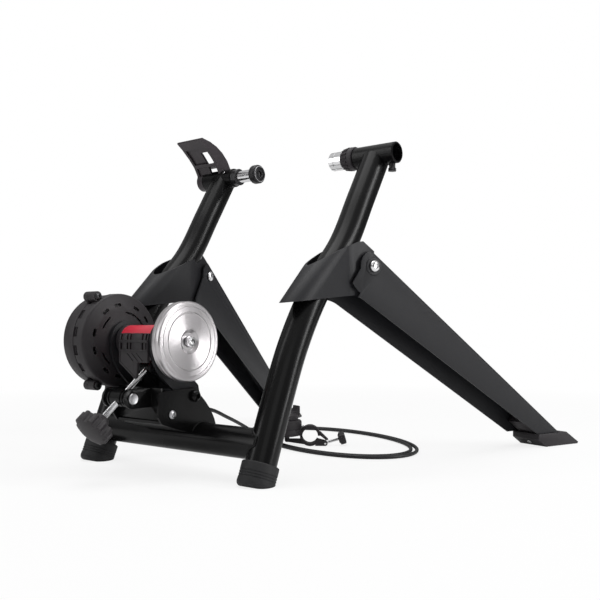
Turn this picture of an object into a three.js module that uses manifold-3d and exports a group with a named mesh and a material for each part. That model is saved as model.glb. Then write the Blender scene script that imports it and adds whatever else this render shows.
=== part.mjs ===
// A wheel-on turbo trainer for a bicycle: a bent-tube stand with two folding front legs, a quick
// clamp for the rear axle, and a tilting resistance unit with a remote lever on a cable.
// Millimetres, X forward, Y to the rider's left, Z up. Places are measured from the axle line,
// from the middle plane and from the floor.
import * as THREE from "three";
import { mergeVertices } from "three/addons/utils/BufferGeometryUtils.js";
import Module from "manifold-3d";

const wasm = await Module();
wasm.setup();

// Sizes shared by the whole stand
const fit = 0.3;
const overrun = 60;
const axleHeight = 390;
const originBehindAxle = 17.6;
const fine = 24;
const medium = 16;
const coarse = 10;
const screwSides = 10;

// Leg tubes: the axis as shares of the axle height, forward and up
const tube = { radius: 17.5, wall: 1.8, outward: 137, steps: 14, sides: 7 };
const tubeAxisShares = [
  [-0.5897, 0],
  [-0.5562, 0.0769],
  [-0.4962, 0.2308],
  [-0.4259, 0.3846],
  [-0.3269, 0.5385],
  [-0.1829, 0.6923],
  [-0.0864, 0.8462],
  [-0.0015, 0.9846],
];

// Rubber feet on the tube ends
const cap = { radius: 20.8, flare: 0.3, height: 23.6, floor: 11.4, edge: 1.6, sole: 4, round: 6 };

// Tube between the legs
const cross = { radius: 17.5, wall: 1.8, back: 214.2, height: 41.4 };

// Barrels welded across the tube tops
const barrel = { radius: 13.5, bore: 11, rightInner: 108, rightOuter: 169.6, leftInner: 112 };

// Saddles welded round the tubes, which carry the folding legs
const collar = {
  bore: 17.8,
  wall: 2,
  nose: 13,
  lean: Math.PI / 4,
  lowBack: 154.9,
  lowHeight: 197,
  bendBack: 80.7,
};

// Folding legs: inverted pressed channels on a cross bolt
const leg = {
  boltBack: 47.4,
  boltHeight: 242.8,
  boltOutward: 147.9,
  splay: THREE.MathUtils.degToRad(18.14),
  fall: THREE.MathUtils.degToRad(35.58),
  width: 48,
  footWidth: 44.4,
  wall: 2,
  top: 15.3,
  corner: 5,
  nose: 19,
  heelBack: 12.5,
  heelDrop: 54.6,
  heelFront: 3.2,
  heelRise: 42.3,
  footDrop: 12.2,
  heelReach: 38,
  innerHeelDrop: 57,
  innerHeelRise: 49.5,
  innerFootDrop: 20.2,
  webStart: 4.2,
  endHeight: 19,
  beadHeight: 1.1,
  beadRadius: 10.5,
};
const bolt = { radius: 4, head: 7, headHeight: 4.6, nut: 6.8, nutHeight: 6, tip: 1.2 };

// Shoes under the folding legs
const shoe = {
  width: 48,
  height: 18.7,
  back: 46.5,
  heel: 30.5,
  heelHeight: 11,
  toe: 35.5,
  toeHeight: 2.2,
  brow: 11.5,
  tongueBack: 58,
  tongueDrop: 9,
  tongueWidth: 33,
  screwRadius: 3.6,
  screwShank: 2.6,
  screwDepth: 9,
  screwHead: 2,
  screwLean: THREE.MathUtils.degToRad(35.5),
};

// Screw-adjusted cup on the right
const rightCup = {
  inner: 68.8,
  length: 20,
  radius: 12,
  bore: 8,
  depth: 9,
  shank: 10,
  shankEnd: 152,
  lockInner: 89.1,
  lockLength: 15.6,
  lockRadius: 15,
  lockTeeth: 16,
  lockTooth: 1.1,
};
const setScrew = { outward: 162, radius: 4, reach: 9, cap: 5.2, capHeight: 4 };

// Quick clamp on the left: a plunger drawn back by a handle that turns about the axle line
const clamp = {
  cupInner: 63.3,
  cupLength: 12.5,
  cupRadius: 13.4,
  cupBack: 10.6,
  neck: 8.6,
  guide: 10.6,
  guideInner: 128,
  hexRadius: 9.2,
  hexDepth: 7,
  bushRadius: 12,
  bushInner: 102,
  bushLength: 22,
  plungerEnd: 150,
  barrelEnd: 168.2,
  spindle: 5,
  spindleInner: 118,
  travel: 8,
};
const handle = { inner: 131, outer: 180, wall: 4.5, hub: 13.6, edge: 1.2 };

// Roller, flywheel and brake drum on one shaft
const unit = {
  back: 264.9,
  height: 153.7,
  roller: 18,
  rollerHalf: 31,
  shaft: 5,
  shaftRight: 71.2,
  nutReach: 6,
  shaftLeft: 76,
  wheel: 43.8,
  wheelFace: 73,
  wheelBack: 60,
  wheelHub: 13,
  wheelHubBack: 46,
  bearing: 11,
  bearingLength: 7,
  drum: 54.9,
  drumFace: 44,
  drumSeam: 60,
  drumEnd: 88,
  shell: 2.6,
  lugReach: 59,
  lugRadius: 6,
};

// Swinging yoke that holds the shaft
const yoke = {
  pivotBack: 227,
  pivotHeight: 90.5,
  pivotRadius: 12,
  armInner: 32.6,
  armWall: 4,
  head: 23,
  sleeve: 8.5,
  bossLength: 6,
  webBack: 240,
  webWall: 4,
  webLow: 98,
  webHigh: 129,
  lugInner: 6.6,
  lugWall: 4,
  lugRadius: 7.5,
};

// Slotted guard behind the roller
const guard = { inner: 21.5, wall: 2.6, left: 16.5, right: 32.2, top: 22, skirt: 112, rib: 1.4 };

// Bracket on the cross tube, with the ears of the adjuster
const bracket = {
  half: 40,
  wall: 3,
  web: 3,
  round: 9.5,
  bolt: 4,
  boltHead: 6.6,
  boltHeadHeight: 7,
  nutHeight: 6,
  tieBack: 261,
  tieHeight: 72,
  tieRadius: 3,
  tieHead: 5,
  tieHeadHeight: 3,
};
const ears = { inner: 16.9, wall: 3, round: 11, plateBack: 270.6, plateWall: 3 };

// Adjuster: a knob turns a threaded rod in a swivel nut
const rod = {
  angle: THREE.MathUtils.degToRad(39.5),
  swivelBack: 300,
  swivelHeight: 91,
  radius: 3.6,
  below: 52,
  above: 52,
  eye: 7.4,
  eyeHalf: 6.2,
  pin: 3.2,
  swivel: 9.6,
  swivelGroove: 1,
  swivelPin: 5,
};
const knob = { radius: 20.5, lobes: 5, lobeShare: 0.13, thickness: 16, hub: 9, hubLength: 8, seat: 32 };

// Cable, as points chosen along its way and a flat spiral of two turns
const cable = { radius: 2.5, sides: 8, turnSides: 6, turnSteps: 24, runSteps: 36, tailSteps: 12, lift: 3 };
const cableRoute = [
  [-262, 70, 91.3],
  [-262, 70, 84],
  [-260.5, 67, 74.5],
  [-251, 59, 68],
  [-233, 50.5, 66],
  [-205, 46.5, 66.5],
  [-165, 44.5, 66.5],
  [-117, 48.5, 61],
  [-60, 69.5, 44],
  [0, 96.5, 25],
  [35, 113, 13],
  [56, 124, 6.4],
];
const cableTail = [
  [57, 101, 4.2],
  [72, 107, 8],
  [85, 102, 13],
  [88, 90, 17.5],
  [79, 79, 21],
  [66, 71.8, 22.5],
  [51.3, 61.5, 22.5],
  [34.9, 50, 22.5],
];
const coil = {
  x: 80,
  y: -10,
  long: 169,
  short: 95,
  heading: THREE.MathUtils.degToRad(66),
  start: THREE.MathUtils.degToRad(-38),
  end: THREE.MathUtils.degToRad(660),
  drawInShare: 0.066,
};

// Remote lever, lying on the floor: a puck with a turning cap and a clamp for the handlebar
const remote = {
  x: 39.3,
  y: 1.9,
  z: 14.8,
  turn: THREE.MathUtils.degToRad(-50.9),
  bar: 11,
  jaw: 3.6,
  half: 9,
  body: 30,
  bodyOut: 42,
  bodyLow: 0,
  bodyHigh: 22,
  skirt: 5,
  bridge: 13,
  hinge: 33,
  hingeDrop: 5.5,
  lug: 2.5,
  knuckle: 3.4,
  pin: 1.6,
  flangeReach: 26,
  flangeRise: 5,
  flangeDrop: 6,
  eyeOut: 21.5,
  eyeDrop: 11.2,
  eye: 3.2,
  eyeHalf: 2.6,
  trunnion: 1.3,
  screw: 2,
  screwRise: THREE.MathUtils.degToRad(16.3),
  knobFrom: 20,
  knob: 9.2,
  knobLength: 10,
};
const dial = { radius: 25, height: 9, heading: THREE.MathUtils.degToRad(30), tip: 28, tipRoot: 15, rise: 10, width: 13, lip: 2 };

// Finishes
const finish = (color, roughness, metalness) =>
  new THREE.MeshStandardMaterial({ color, roughness, metalness });
const blackPaint = () => finish(0x141416, 0.32, 0.1);
const greyCoat = () => finish(0x2e2e33, 0.55, 0.1);
const blackPlastic = () => finish(0x1b1a1d, 0.6, 0);
const rubber = () => finish(0x232326, 0.85, 0);
const chrome = () => finish(0xd9dadd, 0.12, 1);
const steel = () => finish(0xb9bbc0, 0.28, 1);
const redRubber = () => finish(0xc81f35, 0.45, 0);

// Solids: joins and cuts
function solidOf(geometry) {
  const bare = geometry.index ? geometry.toNonIndexed() : geometry.clone();
  bare.deleteAttribute("normal");
  bare.deleteAttribute("uv");
  const merged = mergeVertices(bare, 1e-4);
  const triVerts = new Uint32Array(merged.index.array);
  const vertProperties = new Float32Array(merged.attributes.position.array);
  const make = () => new wasm.Manifold(new wasm.Mesh({ numProp: 3, vertProperties, triVerts }));
  const solid = make();
  if (solid.volume() > 0) return solid;
  for (let i = 0; i < triVerts.length; i += 3) {
    [triVerts[i + 1], triVerts[i + 2]] = [triVerts[i + 2], triVerts[i + 1]];
  }
  return make();
}

function geometryOf(solid) {
  const mesh = solid.getMesh();
  const positions = new Float32Array(mesh.numVert * 3);
  for (let i = 0; i < mesh.numVert; i += 1) {
    positions.set(mesh.vertProperties.subarray(i * mesh.numProp, i * mesh.numProp + 3), i * 3);
  }
  const geometry = new THREE.BufferGeometry();
  geometry.setAttribute("position", new THREE.BufferAttribute(positions, 3));
  geometry.setIndex(new THREE.BufferAttribute(mesh.triVerts, 1));
  const flat = geometry.toNonIndexed();
  flat.computeVertexNormals();
  return flat;
}

const join = (...parts) => parts.map(solidOf).reduce((a, b) => a.add(b));
const cut = (whole, ...tools) => geometryOf(tools.reduce((a, t) => a.subtract(solidOf(t)), whole));
const joined = (...parts) => geometryOf(join(...parts));
const common = (a, b) => geometryOf(solidOf(a).intersect(solidOf(b)));
const mirrored = (geometry) => geometryOf(solidOf(geometry.clone().scale(1, -1, 1)));

// Shapes: an outline from points, swept along one axis
function outline(points) {
  const shape = new THREE.Shape();
  points.forEach(([x, y], i) => (i ? shape.lineTo(x, y) : shape.moveTo(x, y)));
  shape.closePath();
  return shape;
}

function loop(count, radiusAt) {
  const angles = Array.from({ length: count }, (_, i) => (i * 2 * Math.PI) / count);
  return outline(angles.map((a, i) => [radiusAt(a, i) * Math.cos(a), radiusAt(a, i) * Math.sin(a)]));
}

function disc(radius, x = 0, y = 0) {
  const shape = new THREE.Shape();
  shape.absarc(x, y, radius, 0, 2 * Math.PI, false);
  return shape;
}

function ring(radius, bore, x = 0, y = 0) {
  const shape = disc(radius, x, y);
  shape.holes.push(disc(bore, x, y));
  return shape;
}

const extruded = (shape, depth, curveSegments) =>
  new THREE.ExtrudeGeometry(shape, { depth, bevelEnabled: false, curveSegments });

// An outline in X and Z, from one Y to another
function alongY(shape, from, to, curveSegments = coarse) {
  return extruded(shape, to - from, curveSegments).rotateX(Math.PI / 2).translate(0, to, 0);
}

// An outline in Y and Z, from one X to another
function alongX(shape, from, to, curveSegments = coarse) {
  const axes = new THREE.Matrix4().makeBasis(
    new THREE.Vector3(0, 1, 0),
    new THREE.Vector3(0, 0, 1),
    new THREE.Vector3(1, 0, 0),
  );
  return extruded(shape, to - from, curveSegments).applyMatrix4(axes).translate(from, 0, 0);
}

const alongZ = (shape, from, to, curveSegments = coarse) =>
  extruded(shape, to - from, curveSegments).translate(0, 0, from);

// A profile of radius and Y turned about the Y axis
const turned = (profile, segments = fine) =>
  new THREE.LatheGeometry(
    profile.map(([r, y]) => new THREE.Vector2(r, y)),
    segments,
  );

const tubeProfile = (outer, inner, from, to) => [
  [inner, from],
  [outer, from],
  [outer, to],
  [inner, to],
  [inner, from],
];

const rodProfile = (radius, from, to) => [
  [0, from],
  [radius, from],
  [radius, to],
  [0, to],
];

const pinY = (radius, from, to, x, z, segments = medium) =>
  turned(rodProfile(radius, from, to), segments).translate(x, 0, z);

const pinZ = (radius, from, to, x, y, segments = medium) =>
  turned(rodProfile(radius, from, to), segments).rotateX(Math.PI / 2).translate(x, y, 0);

function block(x0, x1, y0, y1, z0, z1) {
  const box = new THREE.BoxGeometry(x1 - x0, y1 - y0, z1 - z0);
  return box.translate((x0 + x1) / 2, (y0 + y1) / 2, (z0 + z1) / 2);
}

// The tree of named meshes
const root = new THREE.Group();
const trainer = new THREE.Group();
trainer.position.x = originBehindAxle;
root.add(trainer);

function place(name, geometry, material, parent = trainer) {
  const mesh = new THREE.Mesh(geometryOf(solidOf(geometry)), material);
  mesh.name = name;
  parent.add(mesh);
  return mesh;
}

// Both sides of a piece that is drawn for the left
function placePair(name, geometry, material) {
  place(name + "_left", geometry, material());
  place(name + "_right", mirrored(geometry), material());
}

// Leg tube, drawn for the left
const axisPoint = ([x, z]) => new THREE.Vector3(x * axleHeight, tube.outward, z * axleHeight);
const footPoint = axisPoint(tubeAxisShares[0]);
const secondPoint = axisPoint(tubeAxisShares[2]);
const footLean = Math.atan2(secondPoint.x - footPoint.x, secondPoint.z - footPoint.z);

function tubeCurve(start) {
  const direction = new THREE.Vector3(Math.sin(footLean), 0, Math.cos(footLean));
  const first = footPoint.clone().addScaledVector(direction, start);
  const rest = tubeAxisShares.slice(2).map(axisPoint);
  return new THREE.CatmullRomCurve3([first, ...rest], false, "centripetal");
}

function swept(shape, curve, steps, curveSegments) {
  return new THREE.ExtrudeGeometry(shape, { steps, extrudePath: curve, curveSegments });
}

function legTube() {
  const curve = tubeCurve(cap.floor + fit);
  const body = swept(ring(tube.radius, tube.radius - tube.wall), curve, tube.steps, tube.sides);
  return cut(join(body), barrelClearance());
}

const tubeClearance = () => swept(disc(tube.radius + fit), tubeCurve(0), tube.steps, tube.sides);

const barrelClearance = () => pinY(barrel.radius + fit, 0, 2 * tube.outward, 0, axleHeight, medium);

// Rubber foot: a cup that leans with the tube and is cut flat by the floor
const atFoot = (geometry) =>
  geometry.rotateX(Math.PI / 2).rotateY(footLean).translate(footPoint.x, footPoint.y, 0);

const capClearance = () =>
  atFoot(turned(rodProfile(cap.radius + cap.flare + fit, -overrun, cap.height + fit), medium));

function footCap() {
  const { radius, flare, height, floor, edge, sole, round } = cap;
  const hole = tube.radius + fit;
  const profile = [
    [0, -sole],
    [radius - round, -sole],
    [radius - round * 0.3, round * 0.3 - sole],
    [radius + flare, round - sole],
    [radius, height - edge],
    [radius - edge / 2, height],
    [hole, height],
    [hole, floor],
    [0, floor],
  ];
  const below = block(-2 * axleHeight, 0, 0, 2 * tube.outward, -overrun, 0);
  return cut(join(atFoot(turned(profile, fine))), below);
}

placePair("leg_tube", legTube(), blackPaint);
placePair("foot_cap", footCap(), rubber);

// Cross tube, coped to both leg tubes
function crossTube() {
  const reach = tube.outward;
  const body = turned(tubeProfile(cross.radius, cross.radius - cross.wall, -reach, reach), medium);
  body.translate(-cross.back, 0, cross.height);
  const ends = [tubeClearance(), capClearance()];
  return cut(join(body), ...ends, ...ends.map(mirrored));
}

place("cross_tube", crossTube(), blackPaint());

// Barrels: the right one is a plain tube, the left one ends in two cheeks for the lever
function rightBarrel() {
  const profile = tubeProfile(barrel.radius, barrel.bore, -barrel.rightOuter, -barrel.rightInner);
  const body = turned(profile, medium).translate(0, 0, axleHeight);
  const hole = pinZ(setScrew.radius + fit, axleHeight - overrun, axleHeight, 0, -setScrew.outward, coarse);
  return cut(join(body), hole);
}

function leftBarrel() {
  const profile = tubeProfile(barrel.radius, barrel.bore, barrel.leftInner, clamp.barrelEnd);
  return turned(profile, medium).translate(0, 0, axleHeight);
}

place("axle_barrel_right", rightBarrel(), blackPaint());
place("axle_barrel_left", leftBarrel(), blackPaint());

// Frame of a folding leg's bolt, drawn for the left: forward along the leg's heading, outward, up
const headingMatrix = new THREE.Matrix4()
  .makeRotationZ(leg.splay)
  .setPosition(-leg.boltBack, leg.boltOutward, 0);

// Saddle: a sheet round the tube whose cheeks turn out to the leg's heading
function saddleSolid(half) {
  const lowX = -collar.lowBack;
  const rise = overrun * Math.SQRT2;
  const round = new THREE.Shape();
  round.moveTo(overrun * 2, -half);
  round.lineTo(overrun * 2, half);
  round.lineTo(0, half);
  round.absarc(0, 0, half, Math.PI / 2, (3 * Math.PI) / 2, false);
  round.closePath();
  const trough = alongZ(round, -rise, 2 * rise, coarse / 2).rotateY(collar.lean);
  trough.translate(lowX, tube.outward, collar.lowHeight);
  const forward = overrun * 2;
  const turn = Math.tan(leg.splay);
  const straight = [-collar.bendBack - fit, -collar.bendBack, -collar.bendBack + forward];
  const side = (s) => straight.map((x, i) => [x, tube.outward + s * half + (i === 2 ? forward * turn : 0)]);
  const plan = outline([...side(-1), ...side(1).reverse()]);
  const cheeks = alongZ(plan, 0, axleHeight, coarse);
  const behind = block(-2 * axleHeight, -collar.bendBack, 0, 2 * tube.outward, 0, axleHeight);
  return { trough: common(trough, behind), cheeks };
}

const saddleLowShares = [
  [-0.62, 0.8],
  [-0.535, 0.811],
  [-0.306, 0.835],
  [-0.172, 0.848],
  [-0.054, 0.857],
];
const saddleHighShares = [
  [0.02, 1.068],
  [0.02, 1.077],
  [-0.048, 1.124],
  [-0.078, 1.12],
  [-0.213, 1.069],
  [-0.339, 1.008],
  [-0.4, 0.972],
  [-0.62, 0.93],
];

function saddleSide() {
  const shape = new THREE.Shape();
  const scaled = ([x, z]) => [x * leg.boltHeight, z * leg.boltHeight];
  const [first, ...rest] = saddleLowShares.map(scaled);
  shape.moveTo(...first);
  rest.forEach((point) => shape.lineTo(...point));
  shape.absarc(0, leg.boltHeight, collar.nose, -Math.PI / 3, (5 * Math.PI) / 12, false);
  saddleHighShares.map(scaled).forEach((point) => shape.lineTo(...point));
  shape.closePath();
  return shape;
}

function saddle() {
  const outer = saddleSolid(collar.bore + collar.wall);
  const inner = saddleSolid(collar.bore);
  const side = alongY(saddleSide(), -overrun, overrun, coarse / 2);
  side.applyMatrix4(headingMatrix);
  const sheet = join(outer.trough, outer.cheeks);
  const trimmed = sheet.intersect(solidOf(side));
  const hole = pinY(bolt.radius + fit, -overrun, overrun, 0, leg.boltHeight, coarse);
  hole.applyMatrix4(headingMatrix);
  return cut(trimmed, inner.trough, inner.cheeks, tubeClearance(), hole);
}

placePair("collar", saddle(), greyCoat);

// Folding leg: a pressed channel, drawn for the left in its own frame, forward, outward, up
const legPoint = (height, drop) =>
  (leg.boltHeight - height + drop * Math.cos(leg.fall)) / Math.sin(leg.fall);

function legSide(heelDrop, heelRise, footDrop) {
  const shape = new THREE.Shape();
  shape.moveTo(-leg.heelBack, -heelDrop);
  shape.lineTo(leg.heelFront, -heelRise);
  shape.lineTo(legPoint(leg.endHeight, -footDrop), -footDrop);
  shape.lineTo(legPoint(leg.endHeight, leg.top + fit), leg.top + fit);
  shape.lineTo(-leg.nose / 3, leg.top + fit);
  shape.absarc(0, 0, leg.nose, (7 * Math.PI) / 12, (5 * Math.PI) / 4, false);
  shape.closePath();
  return shape;
}

function legChannel() {
  const half = leg.width / 2;
  const low = -leg.innerHeelDrop - fit;
  const { top, corner, wall } = leg;
  const section = new THREE.Shape();
  section.moveTo(-half, low);
  section.lineTo(-half, top - corner);
  section.absarc(corner - half, top - corner, corner, Math.PI, Math.PI / 2, true);
  section.absarc(half - corner, top - corner, corner, Math.PI / 2, 0, true);
  section.lineTo(half, low);
  section.lineTo(half - wall, low);
  section.absarc(half - corner, top - corner, corner - wall, 0, Math.PI / 2, false);
  section.absarc(corner - half, top - corner, corner - wall, Math.PI / 2, Math.PI, false);
  section.lineTo(wall - half, low);
  section.closePath();
  const end = legPoint(leg.endHeight, leg.top) + leg.nose;
  const blank = alongX(section, -leg.nose, end, coarse / 4);
  const taper = 1 - leg.footWidth / leg.width;
  const places = blank.attributes.position;
  for (let i = 0; i < places.count; i += 1) {
    const along = THREE.MathUtils.clamp(places.getX(i) / end, 0, 1);
    places.setY(i, places.getY(i) * (1 - taper * along));
  }
  const far = legPoint(leg.endHeight, leg.top);
  const keep = join(
    alongY(disc(leg.heelReach), -half - fit, half + fit, medium),
    block(leg.heelFront, 2 * far, -half - fit, half + fit, -2 * overrun, overrun),
  );
  const side = alongY(legSide(leg.heelDrop, leg.heelRise, leg.footDrop), -half - fit, half + fit);
  const outer = geometryOf(solidOf(side).intersect(keep));
  const inner = alongY(legSide(leg.innerHeelDrop, leg.innerHeelRise, leg.innerFootDrop), -half - fit, 0);
  const bead = turned(
    [
      [0, half - wall],
      [leg.beadRadius + leg.beadHeight, half - wall],
      [leg.beadRadius + leg.beadHeight, half],
      [leg.beadRadius, half + leg.beadHeight],
      [0, half + leg.beadHeight],
    ],
    medium,
  );
  const sheet = solidOf(blank).intersect(join(outer, inner)).add(solidOf(bead));
  const mouth = block(-leg.nose - fit, -leg.webStart, wall - half, half - wall, low, overrun);
  const hole = pinY(bolt.radius + fit, -overrun, overrun, 0, 0, coarse);
  return cut(sheet, mouth, hole);
}

// Shoe: a wedge on the floor with a tongue up inside the channel
function legShoe() {
  const end = legPoint(leg.endHeight, leg.top) * Math.cos(leg.fall) + leg.top * Math.sin(leg.fall);
  const floor = -leg.boltHeight;
  const sole = outline([
    [end - shoe.back, floor + shoe.height],
    [end - shoe.back, floor + shoe.heelHeight],
    [end - shoe.heel, floor],
    [end + shoe.toe, floor],
    [end + shoe.toe + shoe.toeHeight, floor + shoe.toeHeight],
    [end + shoe.brow, floor + shoe.height],
  ]);
  const wedge = alongY(sole, -shoe.width / 2, shoe.width / 2).rotateY(-leg.fall);
  const under = leg.top - leg.wall - fit;
  const first = legPoint(leg.endHeight, under) - shoe.tongueBack;
  const tongue = outline([
    [first, -shoe.tongueDrop],
    [legPoint(shoe.heelHeight, -shoe.tongueDrop), -shoe.tongueDrop],
    [legPoint(shoe.heelHeight, under), under],
    [first, under],
  ]);
  const half = shoe.tongueWidth / 2;
  const [screwX, screwZ] = shoeScrewPlace();
  const hole = pinY(shoe.screwRadius + fit, -shoe.screwDepth - fit, overrun, 0, 0, coarse);
  hole.rotateX(-Math.PI / 2).rotateY(shoeScrewTurn).translate(screwX, 0, screwZ);
  return cut(join(wedge, alongY(tongue, -half, half)), hole);
}

const shoeScrewTurn = Math.PI + shoe.screwLean - leg.fall;

function shoeScrewPlace() {
  const end = legPoint(leg.endHeight, leg.top) * Math.cos(leg.fall) + leg.top * Math.sin(leg.fall);
  const h = end - (shoe.back + shoe.heel) / 2;
  const z = shoe.heelHeight / 2 - leg.boltHeight;
  return [
    h * Math.cos(leg.fall) - z * Math.sin(leg.fall),
    h * Math.sin(leg.fall) + z * Math.cos(leg.fall),
  ];
}

// Nut with six sides round a screw along Y
function nut(size, bore, from, to) {
  const shape = loop(6, () => size);
  shape.holes.push(disc(bore + fit));
  return alongY(shape, from, to, coarse / 2);
}

// Screw with a domed head, from the head's seat along its own Z
function domeScrew(shank, length, head, headHeight, segments = coarse) {
  const profile = [
    [0, -length],
    [shank, -length],
    [shank, 0],
    [head, 0],
    [head * 0.96, headHeight * 0.4],
    [head * 0.72, headHeight * 0.82],
    [head * 0.4, headHeight],
    [head * 0.4, headHeight * 0.5],
    [0, headHeight * 0.5],
  ];
  return turned(profile, segments).rotateX(Math.PI / 2);
}

function shoeScrew() {
  const [x, z] = shoeScrewPlace();
  const screw = domeScrew(shoe.screwShank, shoe.screwDepth, shoe.screwRadius, shoe.screwHead);
  return screw.rotateY(shoeScrewTurn).translate(x, 0, z);
}

const legGroups = {};
for (const [side, sign] of [
  ["left", 1],
  ["right", -1],
]) {
  const group = new THREE.Group();
  group.rotation.set(0, leg.fall, sign * leg.splay, "ZYX");
  group.position.set(-leg.boltBack, sign * leg.boltOutward, leg.boltHeight);
  trainer.add(group);
  legGroups[side] = group;
}

function placeLegPair(name, geometry, material) {
  place(name + "_left", geometry, material(), legGroups.left);
  place(name + "_right", mirrored(geometry), material(), legGroups.right);
}

// Bolt across the leg and the saddle: head on the side that faces the rider's right
function legBolt(headSide) {
  const seat = leg.width / 2 + (headSide > 0 ? leg.beadHeight : 0) + fit;
  const far = leg.width / 2 + (headSide > 0 ? 0 : leg.beadHeight) + fit;
  const length = seat + far + bolt.nutHeight + bolt.tip;
  const screw = domeScrew(bolt.radius, length, bolt.head, bolt.headHeight);
  return screw.rotateX(-Math.PI / 2).translate(0, seat, 0).scale(1, headSide, 1);
}

function legNut(headSide) {
  const seat = leg.width / 2 + (headSide > 0 ? 0 : leg.beadHeight) + 2 * fit;
  return nut(bolt.nut, bolt.radius, seat, seat + bolt.nutHeight).scale(1, -headSide, 1);
}

placeLegPair("folding_leg", legChannel(), greyCoat);
placeLegPair("leg_shoe", legShoe(), blackPlastic);
placeLegPair("shoe_screw", geometryOf(solidOf(shoeScrew())), steel);
place("leg_bolt_left", geometryOf(solidOf(legBolt(-1))), chrome(), legGroups.left);
place("leg_bolt_right", mirrored(legBolt(1)), chrome(), legGroups.right);
place("leg_nut_left", geometryOf(solidOf(legNut(-1))), steel(), legGroups.left);
place("leg_nut_right", mirrored(legNut(1)), steel(), legGroups.right);

// Right axle cup on its threaded shank, and the knurled lock ring
function rightAxleCup() {
  const { inner, length, radius, bore, depth, shank, shankEnd } = rightCup;
  const profile = [
    [0, -inner - depth],
    [bore, -inner - depth],
    [bore, -inner],
    [radius - fit, -inner],
    [radius, -inner - fit],
    [radius, -inner - length],
    [shank, -inner - length],
    [shank, -shankEnd],
    [0, -shankEnd],
  ];
  return turned(profile, medium).translate(0, 0, axleHeight);
}

function lockRing() {
  const { lockInner, lockLength, lockRadius, lockTeeth, lockTooth, shank } = rightCup;
  const shape = loop(lockTeeth * 4, (_, i) => lockRadius - (i % 4 < 2 ? 0 : lockTooth));
  shape.holes.push(disc(shank + fit));
  const body = alongY(shape, -lockInner - lockLength, -lockInner, medium / 2);
  return body.translate(0, 0, axleHeight);
}

function barrelScrew() {
  const top = axleHeight - rightCup.shank - fit;
  const profile = [
    [0, top - setScrew.reach - setScrew.capHeight],
    [setScrew.cap, top - setScrew.reach - setScrew.capHeight],
    [setScrew.cap, top - setScrew.reach],
    [setScrew.radius, top - setScrew.reach],
    [setScrew.radius, top],
    [0, top],
  ];
  return turned(profile, coarse).rotateX(Math.PI / 2).translate(0, -setScrew.outward, 0);
}

place("axle_cup_right", rightAxleCup(), chrome());
place("lock_ring", lockRing(), steel());
place("barrel_set_screw", barrelScrew(), blackPlastic());

// Left clamp: bush, plunger with its cup, hexagonal insert, and the handle on its spindle
function plunger() {
  const { cupInner, cupLength, cupRadius, cupBack, neck, hexRadius, hexDepth } = clamp;
  const { guide, guideInner, plungerEnd, spindle, spindleInner, travel } = clamp;
  const boreEnd = spindleInner - travel - spindle / 2;
  const profile = [
    [0, cupInner],
    [cupRadius - cupLength / 4, cupInner],
    [cupRadius, cupInner + cupLength / 4],
    [cupRadius, cupInner + (cupLength * 3) / 4],
    [cupBack, cupInner + cupLength],
    [neck, cupInner + cupLength + fit],
    [neck, guideInner],
    [guide, guideInner + fit],
    [guide, plungerEnd],
    [spindle + fit, plungerEnd],
    [spindle + fit, boreEnd],
    [0, boreEnd],
  ];
  const body = turned(profile, medium).translate(0, 0, axleHeight);
  const socket = hexagon(hexRadius, cupInner - overrun, cupInner + hexDepth + fit);
  return cut(join(body), socket);
}

function hexagon(radius, from, to) {
  return turned(rodProfile(radius, from, to), 6).translate(0, 0, axleHeight);
}

function hexInsert() {
  const { cupInner, hexRadius, hexDepth } = clamp;
  const body = hexagon(hexRadius - fit, cupInner + fit, cupInner + hexDepth);
  const bore = pinY(hexRadius / 2, 0, cupInner + hexDepth / 2, 0, axleHeight, coarse);
  return cut(join(body), bore);
}

function bush() {
  const { bushInner, bushLength, bushRadius, neck } = clamp;
  const profile = [
    [neck + fit, bushInner],
    [bushRadius, bushInner],
    [bushRadius, barrel.leftInner - fit],
    [barrel.bore - fit, barrel.leftInner - fit],
    [barrel.bore - fit, bushInner + bushLength],
    [neck + fit, bushInner + bushLength],
    [neck + fit, bushInner],
  ];
  return turned(profile, medium).translate(0, 0, axleHeight);
}

const handleBackShares = [
  [0.95, 0.5],
  [0.68, 1.24],
  [0.2, 2.05],
  [-0.585, 2.81],
  [-1.44, 3.33],
  [-2.43, 3.7],
  [-3.62, 3.92],
  [-3.88, 3.82],
  [-3.86, 3.66],
];
const handleFrontShares = [
  [-3.22, 3.21],
  [-2.11, 2.26],
  [-1.37, 1.48],
  [-0.9, 0.7],
  [-0.6, -0.4],
];
const handleWindowShares = [
  [-3.4, 2.5],
  [-2.2, 4],
  [1.5, 3],
  [0.9, 1.85],
  [-2.2, 1.52],
];
const handleSlotShares = [
  [-2.2, 1.2],
  [0.9, 1.54],
  [0.5, 0],
  [-2.2, 0],
];

function clampHandle() {
  const { hub, inner, outer, wall, edge } = handle;
  const { barrelEnd, spindle, spindleInner } = clamp;
  const placed = (shares) => outline(shares.map(([x, z]) => [x * hub, z * hub + axleHeight]));
  const walls = alongY(placed([...handleBackShares, ...handleFrontShares]), inner, outer);
  const open = [handleWindowShares, handleSlotShares].map((shares) =>
    alongY(placed(shares), inner + wall, outer - wall),
  );
  const room = pinY(barrel.radius + fit, 0, barrelEnd + fit, 0, axleHeight, medium);
  const end = turned(
    [
      [0, barrelEnd + fit],
      [hub, barrelEnd + fit],
      [hub, outer - edge],
      [hub - edge, outer],
      [0, outer],
    ],
    medium,
  ).translate(0, 0, axleHeight);
  const stem = pinY(spindle, spindleInner, barrelEnd + edge, 0, axleHeight, coarse);
  const frame = solidOf(cut(join(walls), ...open, room));
  return geometryOf(frame.add(join(end, stem)));
}

place("clamp_bush", bush(), chrome());
place("clamp_plunger", plunger(), chrome());
place("clamp_insert", hexInsert(), blackPlastic());
place("clamp_lever", clampHandle(), blackPlastic());

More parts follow.
